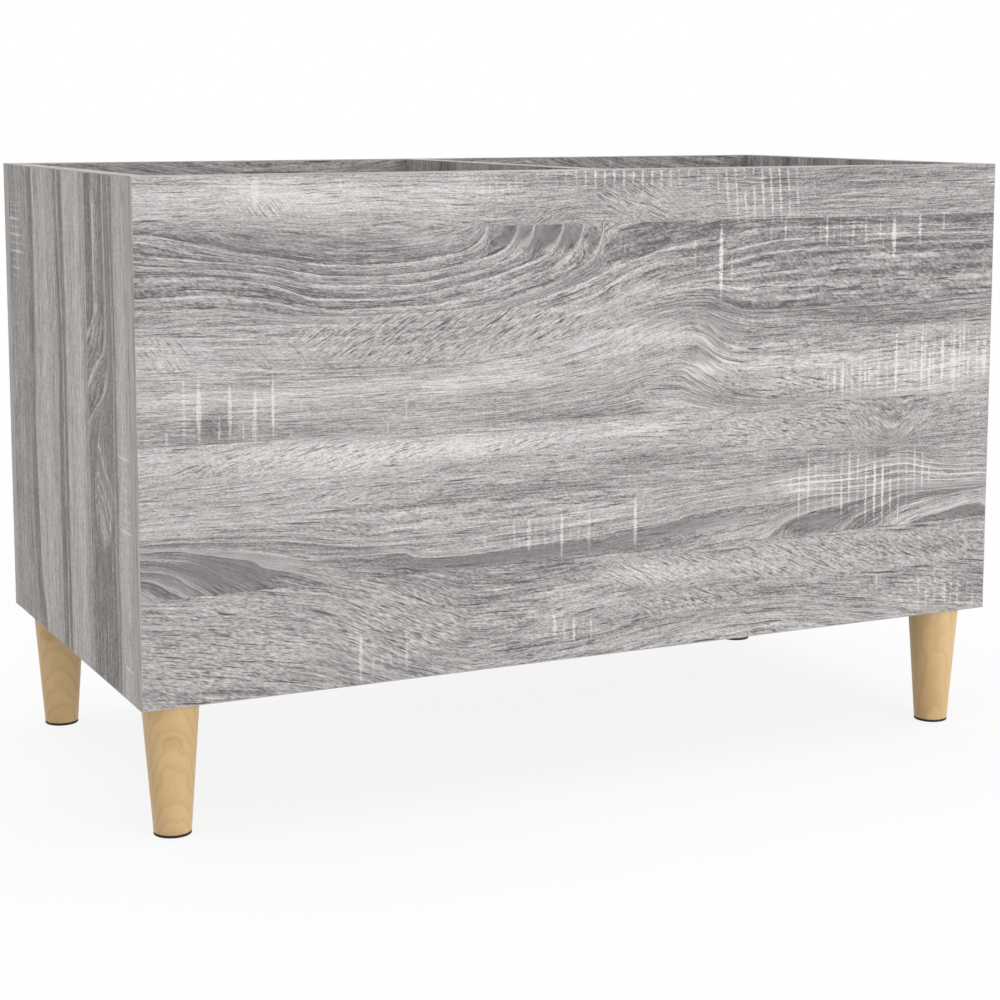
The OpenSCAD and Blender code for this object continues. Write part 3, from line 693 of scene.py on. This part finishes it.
# Saw marks: how ragged a stroke's edge and ends are, how far it reaches past them, how much of its
# width is full, how uneven a comb and a stroke's tone are, and where a comb's teeth and wear fade
SAW_RAGGED = 1.6
SAW_ENDS = 12.0
SAW_REACH = 1.15
SAW_CORE = 0.5
SAW_UNEVEN = 0.3
SAW_FLECKS = 2.0
COMB_TOOTH = (0.2, 0.02)
COMB_WEAR = (0.32, 0.5)


def grain_level(sheet, x, d, stave):
    """How far across the unbent stave a place lies, so that grain drawn along it bends with the lines."""
    share_x = x / SHEET_LENGTH
    share_d = (d - LINE_LOW) / LINE_SPAN
    drawn = []
    for places in stave["lines"].values():
        line = [(px / SHEET_LENGTH, (pd - LINE_LOW) / LINE_SPAN) for px, pd in places.items()]
        drawn.append(sheet.node("ShaderNodeFloatCurve", {"line": line}, {"Factor": 1.0, "Value": share_x}))
    levels = list(stave["lines"])
    grain = levels[0]
    for above, below, first, second in zip(drawn, drawn[1:], levels, levels[1:]):
        grain = sheet.ramp(share_d, above, below, 0.0, second - first, kind="LINEAR") + grain
    return grain


def band_tone(sheet, level, bands):
    """Light and dark bands, by their level across a stave."""
    first, last = min(bands), max(bands)
    stops = [((place - first) / (last - first), (1, 1, 1, tone)) for place, tone in bands.items()]
    share = sheet.ramp(level, first, last, kind="LINEAR")
    return sheet.node("ShaderNodeValToRGB", {"stops": stops}, {0: share}, "Alpha")


def inside_patch(sheet, x, d, patch):
    """1 inside an ellipse (centre, centre, half length, half height), and 0 outside it."""
    return sheet.ramp(sheet.patch(sheet.join(x, d), patch + (1.0,)), *NEST_FADE)


def crests(sheet, x, d, shade, drawn):
    """Curled grain over a patch: nested crests that point back along the stave."""
    ridge, slope, sway, patch, bands = drawn
    sways = sheet.ripple(sheet.join(x, d), (26, 13, 1), (0, 0, 6))
    curled = band_tone(sheet, x - abs(d - ridge) * slope + sways * sway, bands)
    return ((curled - MIDDLE_TONE) * BAND_DEPTH - shade) * inside_patch(sheet, x, d, patch) + shade


def within(sheet, x, span):
    """1 in the middle of a span of x, and falling smoothly to 0 at its ends."""
    middle, half = (span[0] + span[1]) / 2, (span[1] - span[0]) / 2
    return sheet.ramp(abs(x - middle), half, half * 0.5)


def shadow(sheet, x, level, cast):
    """Darkening that starts hard at a level and fades below it, over a span of x."""
    edge, reach, span, amount = cast
    return sheet.ramp(level, edge, edge + reach, amount, 0.0) * (level > edge) * within(sheet, x, span)


def group(name, takes, gives):
    """A new node group of number sockets: its tree, its nodes and the sockets that it takes."""
    tree = bpy.data.node_groups.new(name, "ShaderNodeTree")
    for side, titles in (("INPUT", takes), ("OUTPUT", gives)):
        for title in titles:
            tree.interface.new_socket(name=title, in_out=side, socket_type="NodeSocketFloat")
    nodes = Nodes(tree)
    return tree, nodes, nodes.outputs(nodes.node("NodeGroupInput", {}, {}, takes[0]))[:len(takes)]


def stave_print(name, stave):
    """One stave by itself: the level that its fine grain follows, and its broad light and shade."""
    tree, sheet, (x, d) = group(name, ["x", "d"], ["fine", "shade"])
    level = grain_level(sheet, x, d, stave)
    bands = band_tone(sheet, level, stave["bands"])
    if "later_bands" in stave:
        (start, end), later = stave["later_bands"]
        bands = (band_tone(sheet, level, later) - bands) * sheet.ramp(x, start, end) + bands
    if "nested_bands" in stave:
        patch, nested = stave["nested_bands"]
        bands = (band_tone(sheet, level, nested) - bands) * inside_patch(sheet, x, d, patch) + bands
    shade = (bands - MIDDLE_TONE) * stave.get("depth", BAND_DEPTH)
    for cast in stave.get("shadows", []):
        shade = shadow(sheet, x, level, cast) + shade
    shade = sheet.patches(sheet.join(x, d), stave["tones"], shade)
    if "crests" in stave:
        shade = crests(sheet, x, d, shade, stave["crests"])
    # Where the lines lie far apart, the fine grain is drawn closer, by more levels between two of them
    fine = level
    for first, last, more in stave.get("spreads", []):
        fine = sheet.ramp(level, first, last, 0.0, more, kind="LINEAR") + fine
    sheet.node("NodeGroupOutput", {}, {"fine": fine, "shade": shade})
    return tree


def saw_print(name, strokes, combs):
    """The saw's marks across the grain: single strokes, and combs of strokes that come and go."""
    tree, sheet, (x, d, flecks, sway) = group(name, ["x", "d", "flecks", "sway"], ["saw"])
    flat = sheet.join(x, d)
    wear = sheet.noise(flat, (4.5, 16, 1), (3, 0, 31), detail=3)
    ragged = sheet.join(x + flecks * SAW_RAGGED, d + (wear - 0.5) * SAW_ENDS)
    saw = 0.0
    for place, top, bottom, half_width, amount in strokes:
        half_length = (bottom - top) / 2 * SAW_REACH
        stroke = (place, (top + bottom) / 2, half_width, half_length, amount)
        saw = sheet.patch(ragged, stroke, SAW_CORE) + saw
    for place, period, lean, patch in combs:
        turns = (x - d * lean - place) / period + sway * SAW_UNEVEN
        tooth = turns.math("PINGPONG", turns, 0.5)
        worn = sheet.ramp(tooth, *COMB_TOOTH) * sheet.ramp(wear, *COMB_WEAR)
        saw = sheet.patch(flat, patch) * worn + saw
    sheet.node("NodeGroupOutput", {}, {"saw": saw * (1.0 + flecks * SAW_FLECKS)})
    return tree


def slanted(sheet, grain, wavy, bent, angle, zones):
    """The grain with pores at an angle in place of the streaks, over some patches."""
    zone = sheet.ramp(sheet.patches(wavy, zones), *SLANT_FADE)
    values = {"Vector": bent, "Angle": math.radians(angle)}
    turned = sheet.node("ShaderNodeVectorRotate", {"rotation_type": "Z_AXIS"}, values)
    mottle = sheet.ripple(turned, (7, 1.5, 1), (0, 0, angle))
    long_cuts = sheet.strokes(turned, LONG_CUTS, angle)
    short_cuts = sheet.strokes(turned, SHORT_CUTS, angle)
    cut = mottle * CUT_MOTTLE - long_cuts - short_cuts + CUT_LIGHT
    return grain + zone * (cut - grain * CUT_SHARE)


def decor(name, staves, slants, calm, saw_strokes, saw_combs):
    """A group that prints a sheet of oak: from x along and d across, in millimetres, it works out the
    tone of a place and the tone of the ground round it, without the fine grain."""
    prints = [stave_print(f"{name}_stave_{number}", stave) for number, stave in enumerate(staves)]
    saw_marks = saw_print(name + "_saw", saw_strokes, saw_combs)
    tree, sheet, (x, d) = group(name, ["x", "d"], ["tone", "ground"])
    flat = sheet.join(x, d)
    # The hand of the grain: nothing in wood runs quite straight
    slow = sheet.ripple(flat, (90, 16, 1), (0, 0, 2.3))
    quick = sheet.ripple(flat, (9, 4, 1), (0, 0, 8.1), detail=3)
    bent_d = d + slow * SLOW_SWAY
    wavy_d = bent_d + quick * QUICK_SWAY
    wavy_x = x + quick * QUICK_PUSH
    fine, ground, seed = 0.0, 0.0, 0.0
    for stave, printed in zip(staves, prints):
        inside = (d > stave["top"]) * (d < stave["bottom"] + STAVE_JOINT)
        own_fine, shade = sheet.run(printed, x=wavy_x, d=wavy_d)
        fine = inside * own_fine + fine
        ground = inside * (shade + stave["base"]) + ground
        seed = inside * stave["seed"] + seed
    # Fine grain along the lines: streaks, speckle, dark pores and pale threads
    along = sheet.join(x - d, fine, seed)
    long_streaks = sheet.ripple(along, (70, 2.0, 1))
    streaks = sheet.ripple(along, (16, 1.1, 1), (0, 0, 5))
    flecks = sheet.ripple(along, (2.4, 0.9, 1), (0, 0, 9), roughness=0.6)
    pores = sheet.strokes(along, LONG_PORES) + sheet.strokes(along, SHORT_PORES)
    threads = sheet.strokes(along, THREADS)
    grain = long_streaks * LONG_STREAK_TONE + streaks * STREAK_TONE + threads - pores
    wavy, bent = sheet.join(wavy_x, wavy_d), sheet.join(x, bent_d)
    for angle, zones in slants.items():
        grain = slanted(sheet, grain, wavy, bent, angle, zones)
    smooth = sheet.ramp(sheet.patches(wavy, calm), 0.0, 0.9, 1.0, CALM_GRAIN)
    grain = (grain + flecks * FLECK_TONE) * smooth
    saw = sheet.run(saw_marks, x=x, d=d, flecks=flecks, sway=quick)[0]
    ground = ground.math("SMOOTH_MAX", ground + GROUND_LIFT, DARKEST_GROUND, DARK_KNEE)
    broad = ground + long_streaks * GROUND_STREAKS + saw * GROUND_SAW
    sheet.node("NodeGroupOutput", {}, {"tone": ground + grain + saw, "ground": broad})
    return tree


def printed_colour(surface, tone, tint):
    """The decor's colour at a tone."""
    greys = surface.colours(tone, [(place, srgb(grey, grey, grey)) for place, grey in DECOR_GREYS])
    return surface.mix(1.0, greys, tint, "MULTIPLY")


def board(name, sheet, x, d, inward, tints):
    """The finish of one board: matt decor film with a fine pressed pore. The board's inner face reads
    the sheet from its other end, so that the print isn't mirrored there."""
    surface = Surface(name)
    x, d, inner = (line(surface) for line in (x, d, inward))
    x = (inner > 0.0) * (SHEET_LENGTH - x * 2.0) + x
    tone, ground = surface.run(sheet, x=x, d=d)
    broad = ground * TINT_GROUND + tone * (1 - TINT_GROUND)
    tint = surface.mix(surface.ramp(broad, TINT_LOW, TINT_HIGH), *tints)
    surface.feed("Base Color", printed_colour(surface, tone, tint))
    pressed = surface.noise(surface.join(x, d), (12, 0.7, 1))
    surface.feed("Roughness", FILM_ROUGHNESS + pressed * 0.2)
    surface.feed("Specular IOR Level", 0.3)
    surface.bump(surface.ramp(pressed, 0.65, 0.5), 0.05 * MM, 0.6)
    return surface.material


def millimetres(axis, start, sign=1):
    """Makes the line that reads one axis of a piece's own place, in millimetres from a start."""
    def read(surface):
        along = surface.split(surface.place())["XYZ".index(axis)]
        return (along - start) * (sign / MM)
    return read


def inner_side(node, axis, sign=1):
    """Makes the line that is above 0 on the inner half of a board."""
    lower, upper = (corner["XYZ".index(axis)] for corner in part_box(node))
    return millimetres(axis, (lower + upper) / 2, sign)


def leg_wood(corner, blank):
    """Turned pine under clear lacquer: the leg cuts through the rings of its own blank, whose pith runs
    behind the leg and leans towards it, so that the rings rise in arches on the face."""
    face_x, face_y, lean, spacing, seed, knot = blank
    lower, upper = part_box(corner + "_leg")
    axis_x, axis_y = (lower.x + upper.x) / 2, (lower.y + upper.y) / 2
    surface = Surface("pine_" + corner)
    place = surface.place_mm((-axis_x / MM, -axis_y / MM, 0))
    x, y, z = surface.split(place)
    slow = surface.ripple(place, (34, 34, 46), (0, 0, seed))
    toward = x * face_x + y * face_y + PITH_DEPTH - z * lean + slow * RING_SWAY
    aside = y * face_x - x * face_y
    ring = (toward * toward + aside * aside) ** 0.5
    scale = [1 / size for size in KNOT_SIZE]
    shift = [-middle / size for middle, size in zip(knot, KNOT_SIZE)]
    near = surface.scaled(place, scale, shift)
    knotty = surface.ramp(surface.length(near), 1.5, 0.1)
    share = (ring + knotty * KNOT_PUSH) / spacing
    share = share.math("FRACT", share)
    late = surface.ramp(share, *LATE_RISE) - surface.ramp(share, *LATE_FALL)
    fibre = surface.noise(place, (0.9, 0.9, 26), (0, 0, seed), detail=3)
    warm = surface.ripple(place, (24, 24, 34), (seed, 0, 0), detail=1)
    tone = PINE_TONE - late * LATE_TONE + (fibre - 0.5) * FIBRE_TONE + warm * WARM_TONE - knotty * KNOT_TONE
    stops = [
        (0.0, srgb(184, 146, 98)), (0.4, srgb(211, 175, 122)), (0.75, srgb(226, 193, 143)),
        (1.0, srgb(234, 206, 160)),
    ]
    surface.feed("Base Color", surface.colours(tone, stops))
    surface.feed("Roughness", 0.42 + fibre * 0.14)
    surface.feed("Coat Weight", 0.08)
    surface.bump(fibre, 0.03 * MM, 0.4)
    return surface.material


def edging_film():
    """Edging strips: the same print, finer, along the strip's own length."""
    surface = Surface("edging_decor")
    along = surface.scaled(surface.place("UV"), (1 / MM, 1 / MM, 0))
    long_streaks = surface.ripple(along, (140, 2.2, 1), detail=3)
    streaks = surface.noise(along, (22, 0.9, 1), (0, 0, 6), detail=3)
    tone = MIDDLE_TONE + long_streaks * 0.9 + (streaks - 0.5) * 0.8
    # The strips take the pale one of the left side's tints, so the painted warm shade is in them too
    surface.feed("Base Color", printed_colour(surface, tone, SIDE_WARM_SHADE_TINTS[1]))
    surface.feed("Roughness", FILM_ROUGHNESS + streaks * 0.12)
    surface.bump(streaks, 0.03 * MM, 0.5)
    return surface.material


def dark_rubber():
    surface = Surface("pad_rubber")
    place = surface.place_mm()
    grit = surface.noise(place, 0.625, detail=3)
    wear = surface.noise(place, 25 / 3, (4, 0, 0))
    surface.feed("Base Color", surface.mix(wear, srgb(30, 27, 25), srgb(52, 47, 43)))
    surface.feed("Roughness", 0.7 + grit * 0.2)
    surface.bump(grit, 0.08 * MM, 0.6)
    return surface.material


def metal(name, light, dark, cloud_size, gloss):
    surface = Surface(name)
    place = surface.place_mm()
    cloud = surface.noise(place, cloud_size, detail=3)
    grain = surface.noise(place, 1 / 3, (0, 5, 0))
    surface.feed("Base Color", surface.mix(cloud, light, dark))
    surface.feed("Metallic", 1.0)
    surface.feed("Roughness", gloss + cloud * 0.14 + grain * 0.06)
    surface.bump(grain, 0.03 * MM, 0.4)
    return surface.material


def birch():
    surface = Surface("birch_dowel")
    place = surface.place_mm()
    fibre = surface.noise(place, 0.7, detail=3)
    slow = surface.noise(place, 10.0, (3, 0, 0), detail=1)
    tone = fibre * 0.6 + slow * 0.4
    surface.feed("Base Color", surface.mix(tone, srgb(198, 166, 118), srgb(226, 202, 160)))
    surface.feed("Roughness", 0.6 + fibre * 0.2)
    surface.bump(fibre, 0.05 * MM, 0.5)
    return surface.material


def mesh_data(name, mesh):
    """A bmesh as mesh data; the bmesh is used up."""
    data = bpy.data.meshes.new(name)
    mesh.to_mesh(data)
    mesh.free()
    return data


def add_object(name, data):
    """A new object in the scene."""
    made = bpy.data.objects.new(name, data)
    bpy.context.scene.collection.objects.link(made)
    return made


def piece(name, mesh, material, node):
    """Finishes a bmesh as a piece that stands for a CAD node."""
    for face in mesh.faces:
        face.smooth = True
    data = mesh_data(name, mesh)
    data.set_sharp_from_angle(angle=SHARP_ANGLE)
    data.materials.append(material)
    made = add_object(name, data)
    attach(made, "root")
    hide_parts(node)


def bevel(mesh, edges, offset):
    bmesh.ops.bevel(
        mesh, geom=edges, offset=offset, segments=ARRIS_STEPS, profile=0.5, affect="EDGES", material=-1,
    )


def round_faces(mesh):
    """The two ends of a turned piece."""
    return [face for face in mesh.faces if len(face.verts) > 4]


def turned(node, foot_d, sides, arris):
    """A cylinder or taper round its own middle, as high and as wide at the top as a CAD node, with soft
    arrises, and the place that its middle goes to."""
    bottom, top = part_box(node)
    top_d = top.x - bottom.x
    mesh = bmesh.new()
    bmesh.ops.create_cone(
        mesh, cap_ends=True, cap_tris=False, segments=sides,
        radius1=(foot_d or top_d) / 2, radius2=top_d / 2, depth=top.z - bottom.z,
    )
    bevel(mesh, list({edge for face in round_faces(mesh) for edge in face.edges}), arris)
    return mesh, (bottom + top) / 2


def make_leg(node, material):
    """A turned taper with soft arrises and the bore for its hanger bolt."""
    mesh, centre = turned(node, LEG_FOOT_D, LEG_SIDES, LEG_ARRIS)
    crown = max(round_faces(mesh), key=lambda face: face.calc_center_median().z)
    crown_r = max(vert.co.xy.length for vert in crown.verts)
    bmesh.ops.inset_region(mesh, faces=[crown], thickness=crown_r - LEG_BORE_D / 2)
    bore = bmesh.ops.extrude_face_region(mesh, geom=[crown])
    floor = [item for item in bore["geom"] if isinstance(item, bmesh.types.BMVert)]
    bmesh.ops.translate(mesh, vec=(0, 0, -LEG_BORE_DEPTH), verts=floor)
    bmesh.ops.delete(mesh, geom=[crown], context="FACES_ONLY")
    bmesh.ops.translate(mesh, vec=centre, verts=mesh.verts)
    bmesh.ops.recalc_face_normals(mesh, faces=mesh.faces)
    piece("turned_" + node, mesh, material, node)


def make_pad(node, material):
    mesh, centre = turned(node, None, PAD_SIDES, PAD_ARRIS)
    bmesh.ops.translate(mesh, vec=centre, verts=mesh.verts)
    piece("round_" + node, mesh, material, node)


def strip(start, end, outward):
    """One glued strip between two corners, its long outer arrises rounded, with a UV map along it."""
    start, end, outward = Vector(start), Vector(end), Vector(outward)
    middle, size = (start + end) / 2, end - start
    along = max(range(3), key=lambda axis: size[axis])
    across = min((axis for axis in range(3) if axis != along), key=lambda axis: abs(outward[axis]))
    mesh = bmesh.new()
    bmesh.ops.create_cube(mesh, size=1.0, matrix=Matrix.LocRotScale(middle, None, size))
    arrises = [
        edge for edge in mesh.edges
        if abs(edge.calc_length() - size[along]) < MM
        and ((edge.verts[0].co + edge.verts[1].co) / 2 - middle).dot(outward) > 0
    ]
    bevel(mesh, arrises, STRIP_ARRIS)
    uv_map = mesh.loops.layers.uv.new("along_strip")
    for face in mesh.faces:
        for loop in face.loops:
            place = loop.vert.co
            loop[uv_map].uv = (place[along], place[across] + (place - middle).dot(outward))
    return mesh_data("strip", mesh)


def make_edging(node, strips, material):
    """All strips of one board as one piece."""
    mesh = bmesh.new()
    for data in (strip(*places) for places in strips):
        mesh.from_mesh(data)
        bpy.data.meshes.remove(data)
    piece("rounded_" + node, mesh, material, node)


def long_strips(node, both_edges=True):
    """The strips that run the full length of a board, along its top edge and its lower edge."""
    a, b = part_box(node)
    upper = ((a.x, a.y, b.z - strip_t), (b.x, b.y, b.z), (0, 0, 1))
    lower = ((a.x, a.y, a.z), (b.x, b.y, a.z + strip_t), (0, 0, -1))
    return [upper, lower] if both_edges else [upper]


def wall_strips(node):
    """The four strips of the front or back panel: top and bottom run the full width."""
    a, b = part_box(node)
    mid_low, mid_high = a.z + strip_t + STRIP_GAP, b.z - strip_t - STRIP_GAP
    left = ((a.x, a.y, mid_low), (a.x + strip_t, b.y, mid_high), (-1, 0, 0))
    right = ((b.x - strip_t, a.y, mid_low), (b.x, b.y, mid_high), (1, 0, 0))
    return long_strips(node) + [left, right]


def paint(node, material):
    """Gives a CAD node its finish."""
    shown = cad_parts[node]
    shown.data.materials.clear()
    shown.data.materials.append(material)


# Boards: (node, material, sheet, x, d, axis and direction of the inner face, tints)
front_sheet = decor(
    "front_sheet", FRONT_STAVES, FRONT_SLANTS, FRONT_CALM, FRONT_SAW_STROKES, FRONT_SAW_COMBS,
)
side_sheet = decor("side_sheet", SIDE_STAVES, SIDE_SLANTS, SIDE_CALM, SIDE_SAW_STROKES, SIDE_SAW_COMBS)
from_left = millimetres("X", low.x)
from_rim, from_floor = millimetres("Z", rim_z, -1), millimetres("Z", box_z)
from_back, from_front = millimetres("Y", high.y, -1), millimetres("Y", low.y)
BOARDS = [
    ("front_panel", "front_decor", front_sheet, from_left, from_rim, ("Y", 1), FRONT_TINTS),
    ("back_panel", "back_decor", front_sheet, from_left, from_floor, ("Y", -1), FRONT_TINTS),
    # The left side takes the warmer tints: painted warm shade
    ("left_side_panel", "left_decor", side_sheet, from_rim, from_back, ("X", 1), SIDE_WARM_SHADE_TINTS),
    ("right_side_panel", "right_decor", front_sheet, from_floor, from_front, ("X", -1), FRONT_TINTS),
    ("centre_divider", "divider_decor", front_sheet, from_rim, from_front, ("X", 1), FRONT_TINTS),
    ("bottom_panel", "bottom_decor", front_sheet, from_left, from_back, ("Z", 1), FRONT_TINTS),
]
for node, name, sheet, x, d, inward, tints in BOARDS:
    paint(node, board(name, sheet, x, d, inner_side(node, *inward), tints))

# Edging
strip_film = edging_film()
EDGINGS = {
    "front_panel_edging": wall_strips("front_panel_edging"),
    "back_panel_edging": wall_strips("back_panel_edging"),
    "left_side_edging": long_strips("left_side_edging"),
    "right_side_edging": long_strips("right_side_edging"),
    "divider_edging": long_strips("divider_edging", both_edges=False),
}
for node, strips in EDGINGS.items():
    make_edging(node, strips, strip_film)

# Legs and pads
rubber = dark_rubber()
for corner, blank in LEG_BLANKS.items():
    make_leg(corner + "_leg", leg_wood(corner, blank))
    make_pad(corner + "_pad", rubber)

# Fixings
zinc = metal("bright_zinc", srgb(205, 206, 208), srgb(176, 178, 183), 4.0, 0.24)
die_cast = metal("die_cast_zinc", srgb(186, 186, 188), srgb(150, 151, 154), 5 / 3, 0.36)
for node in ("hanger_bolts", "leg_inserts", "cam_bolts"):
    paint(node, zinc)
paint("cam_nuts", die_cast)
paint("wood_dowels", birch())

# Floor, daylight and lamps
FLOOR_SIZE = 40.0
FLOOR_GLOW = 0.86
# The floor's own shading fades into plain white between these distances from the middle
FADE_START = 0.7
FADE_END = 2.4
AMBIENT = 0.6
WHITE = (1, 1, 1, 1)
PALE_GREY = (0.8, 0.8, 0.8, 1)


def camera_rays(surface):
    """1 for rays that show the background: from the camera, in a gloss or through glass."""
    rays = surface.node("ShaderNodeLightPath", {}, {}, "Is Camera Ray").link.node
    names = ("Is Camera Ray", "Is Glossy Ray", "Is Transmission Ray")
    seen, glossy, through = (Socket(surface, rays.outputs[name]) for name in names)
    return seen.math("MAXIMUM", seen.math("MAXIMUM", seen, glossy), through)


def make_floor():
    """A white floor that keeps the cabinet's shadow, and meets the white sky unseen."""
    surface = Surface("white_floor")
    seen = camera_rays(surface)
    away = surface.length(surface.place())
    surface.feed("Base Color", surface.mix(seen, PALE_GREY, WHITE))
    surface.feed("Roughness", 1.0)
    surface.feed("Specular IOR Level", 0.0)
    glow = surface.node("ShaderNodeEmission", {}, {"Color": WHITE, "Strength": 1.0})
    lit = Socket(surface, surface.shader.outputs[0])
    share = seen * surface.ramp(away, FADE_START, FADE_END, FLOOR_GLOW, 1.0)
    mixed = surface.node("ShaderNodeMixShader", {}, {0: share, 1: lit, 2: glow})
    surface.plug(surface.tree.nodes["Material Output"].inputs["Surface"], mixed)
    mesh = bmesh.new()
    bmesh.ops.create_grid(mesh, x_segments=1, y_segments=1, size=FLOOR_SIZE / 2)
    data = mesh_data("floor", mesh)
    data.materials.append(surface.material)
    floor = add_object("floor", data)


def make_daylight():
    """An even grey sky that lights the object, and that the camera sees as white."""
    world = bpy.data.worlds.new("studio")
    bpy.context.scene.world = world
    world.use_nodes = True
    daylight = Nodes(world.node_tree)
    daylight.tree.nodes.clear()
    strength = daylight.ramp(camera_rays(daylight), 0.0, 1.0, AMBIENT, 1.0, kind="LINEAR")
    sky = daylight.node("ShaderNodeBackground", {}, {"Color": WHITE, "Strength": strength})
    daylight.node("ShaderNodeOutputWorld", {}, {"Surface": sky})


def make_lamp(name, place, target, size, power):
    """A square soft box that faces the cabinet."""
    lamp = bpy.data.lights.new(name, "AREA")
    lamp.shape = "SQUARE"
    lamp.size = size
    lamp.energy = power
    made = add_object(name, lamp)
    made.location = place
    made.rotation_euler = (Vector(target) - Vector(place)).to_track_quat("-Z", "Y").to_euler()


make_floor()
make_daylight()
make_lamp("key", (1.4, -3.2, 0.7), (0, 0, 0.3), 1.6, 48)
make_lamp("overhead", (0, 0.4, 4.0), (0, 0, 0), 3.0, 60)

# Camera, at the place that the edges of the cabinet in the picture give
CAMERA_PLACE = (-0.7928, -1.6393, 0.5300)
CAMERA_TURN = -25.884
CAMERA_TILT = -7.260
CAMERA_SHIFT = -0.12
CAMERA_LENS = 77.442
CAMERA_SENSOR = 36.0
camera = bpy.data.cameras.new("camera")
camera.lens = CAMERA_LENS
camera.sensor_width = CAMERA_SENSOR
camera.shift_y = CAMERA_SHIFT
viewer = add_object("camera", camera)
viewer.location = CAMERA_PLACE
viewer.rotation_euler = (math.radians(90 + CAMERA_TILT), 0, math.radians(CAMERA_TURN))
bpy.context.scene.camera = viewer
bpy.context.scene.view_settings.view_transform = "Standard"
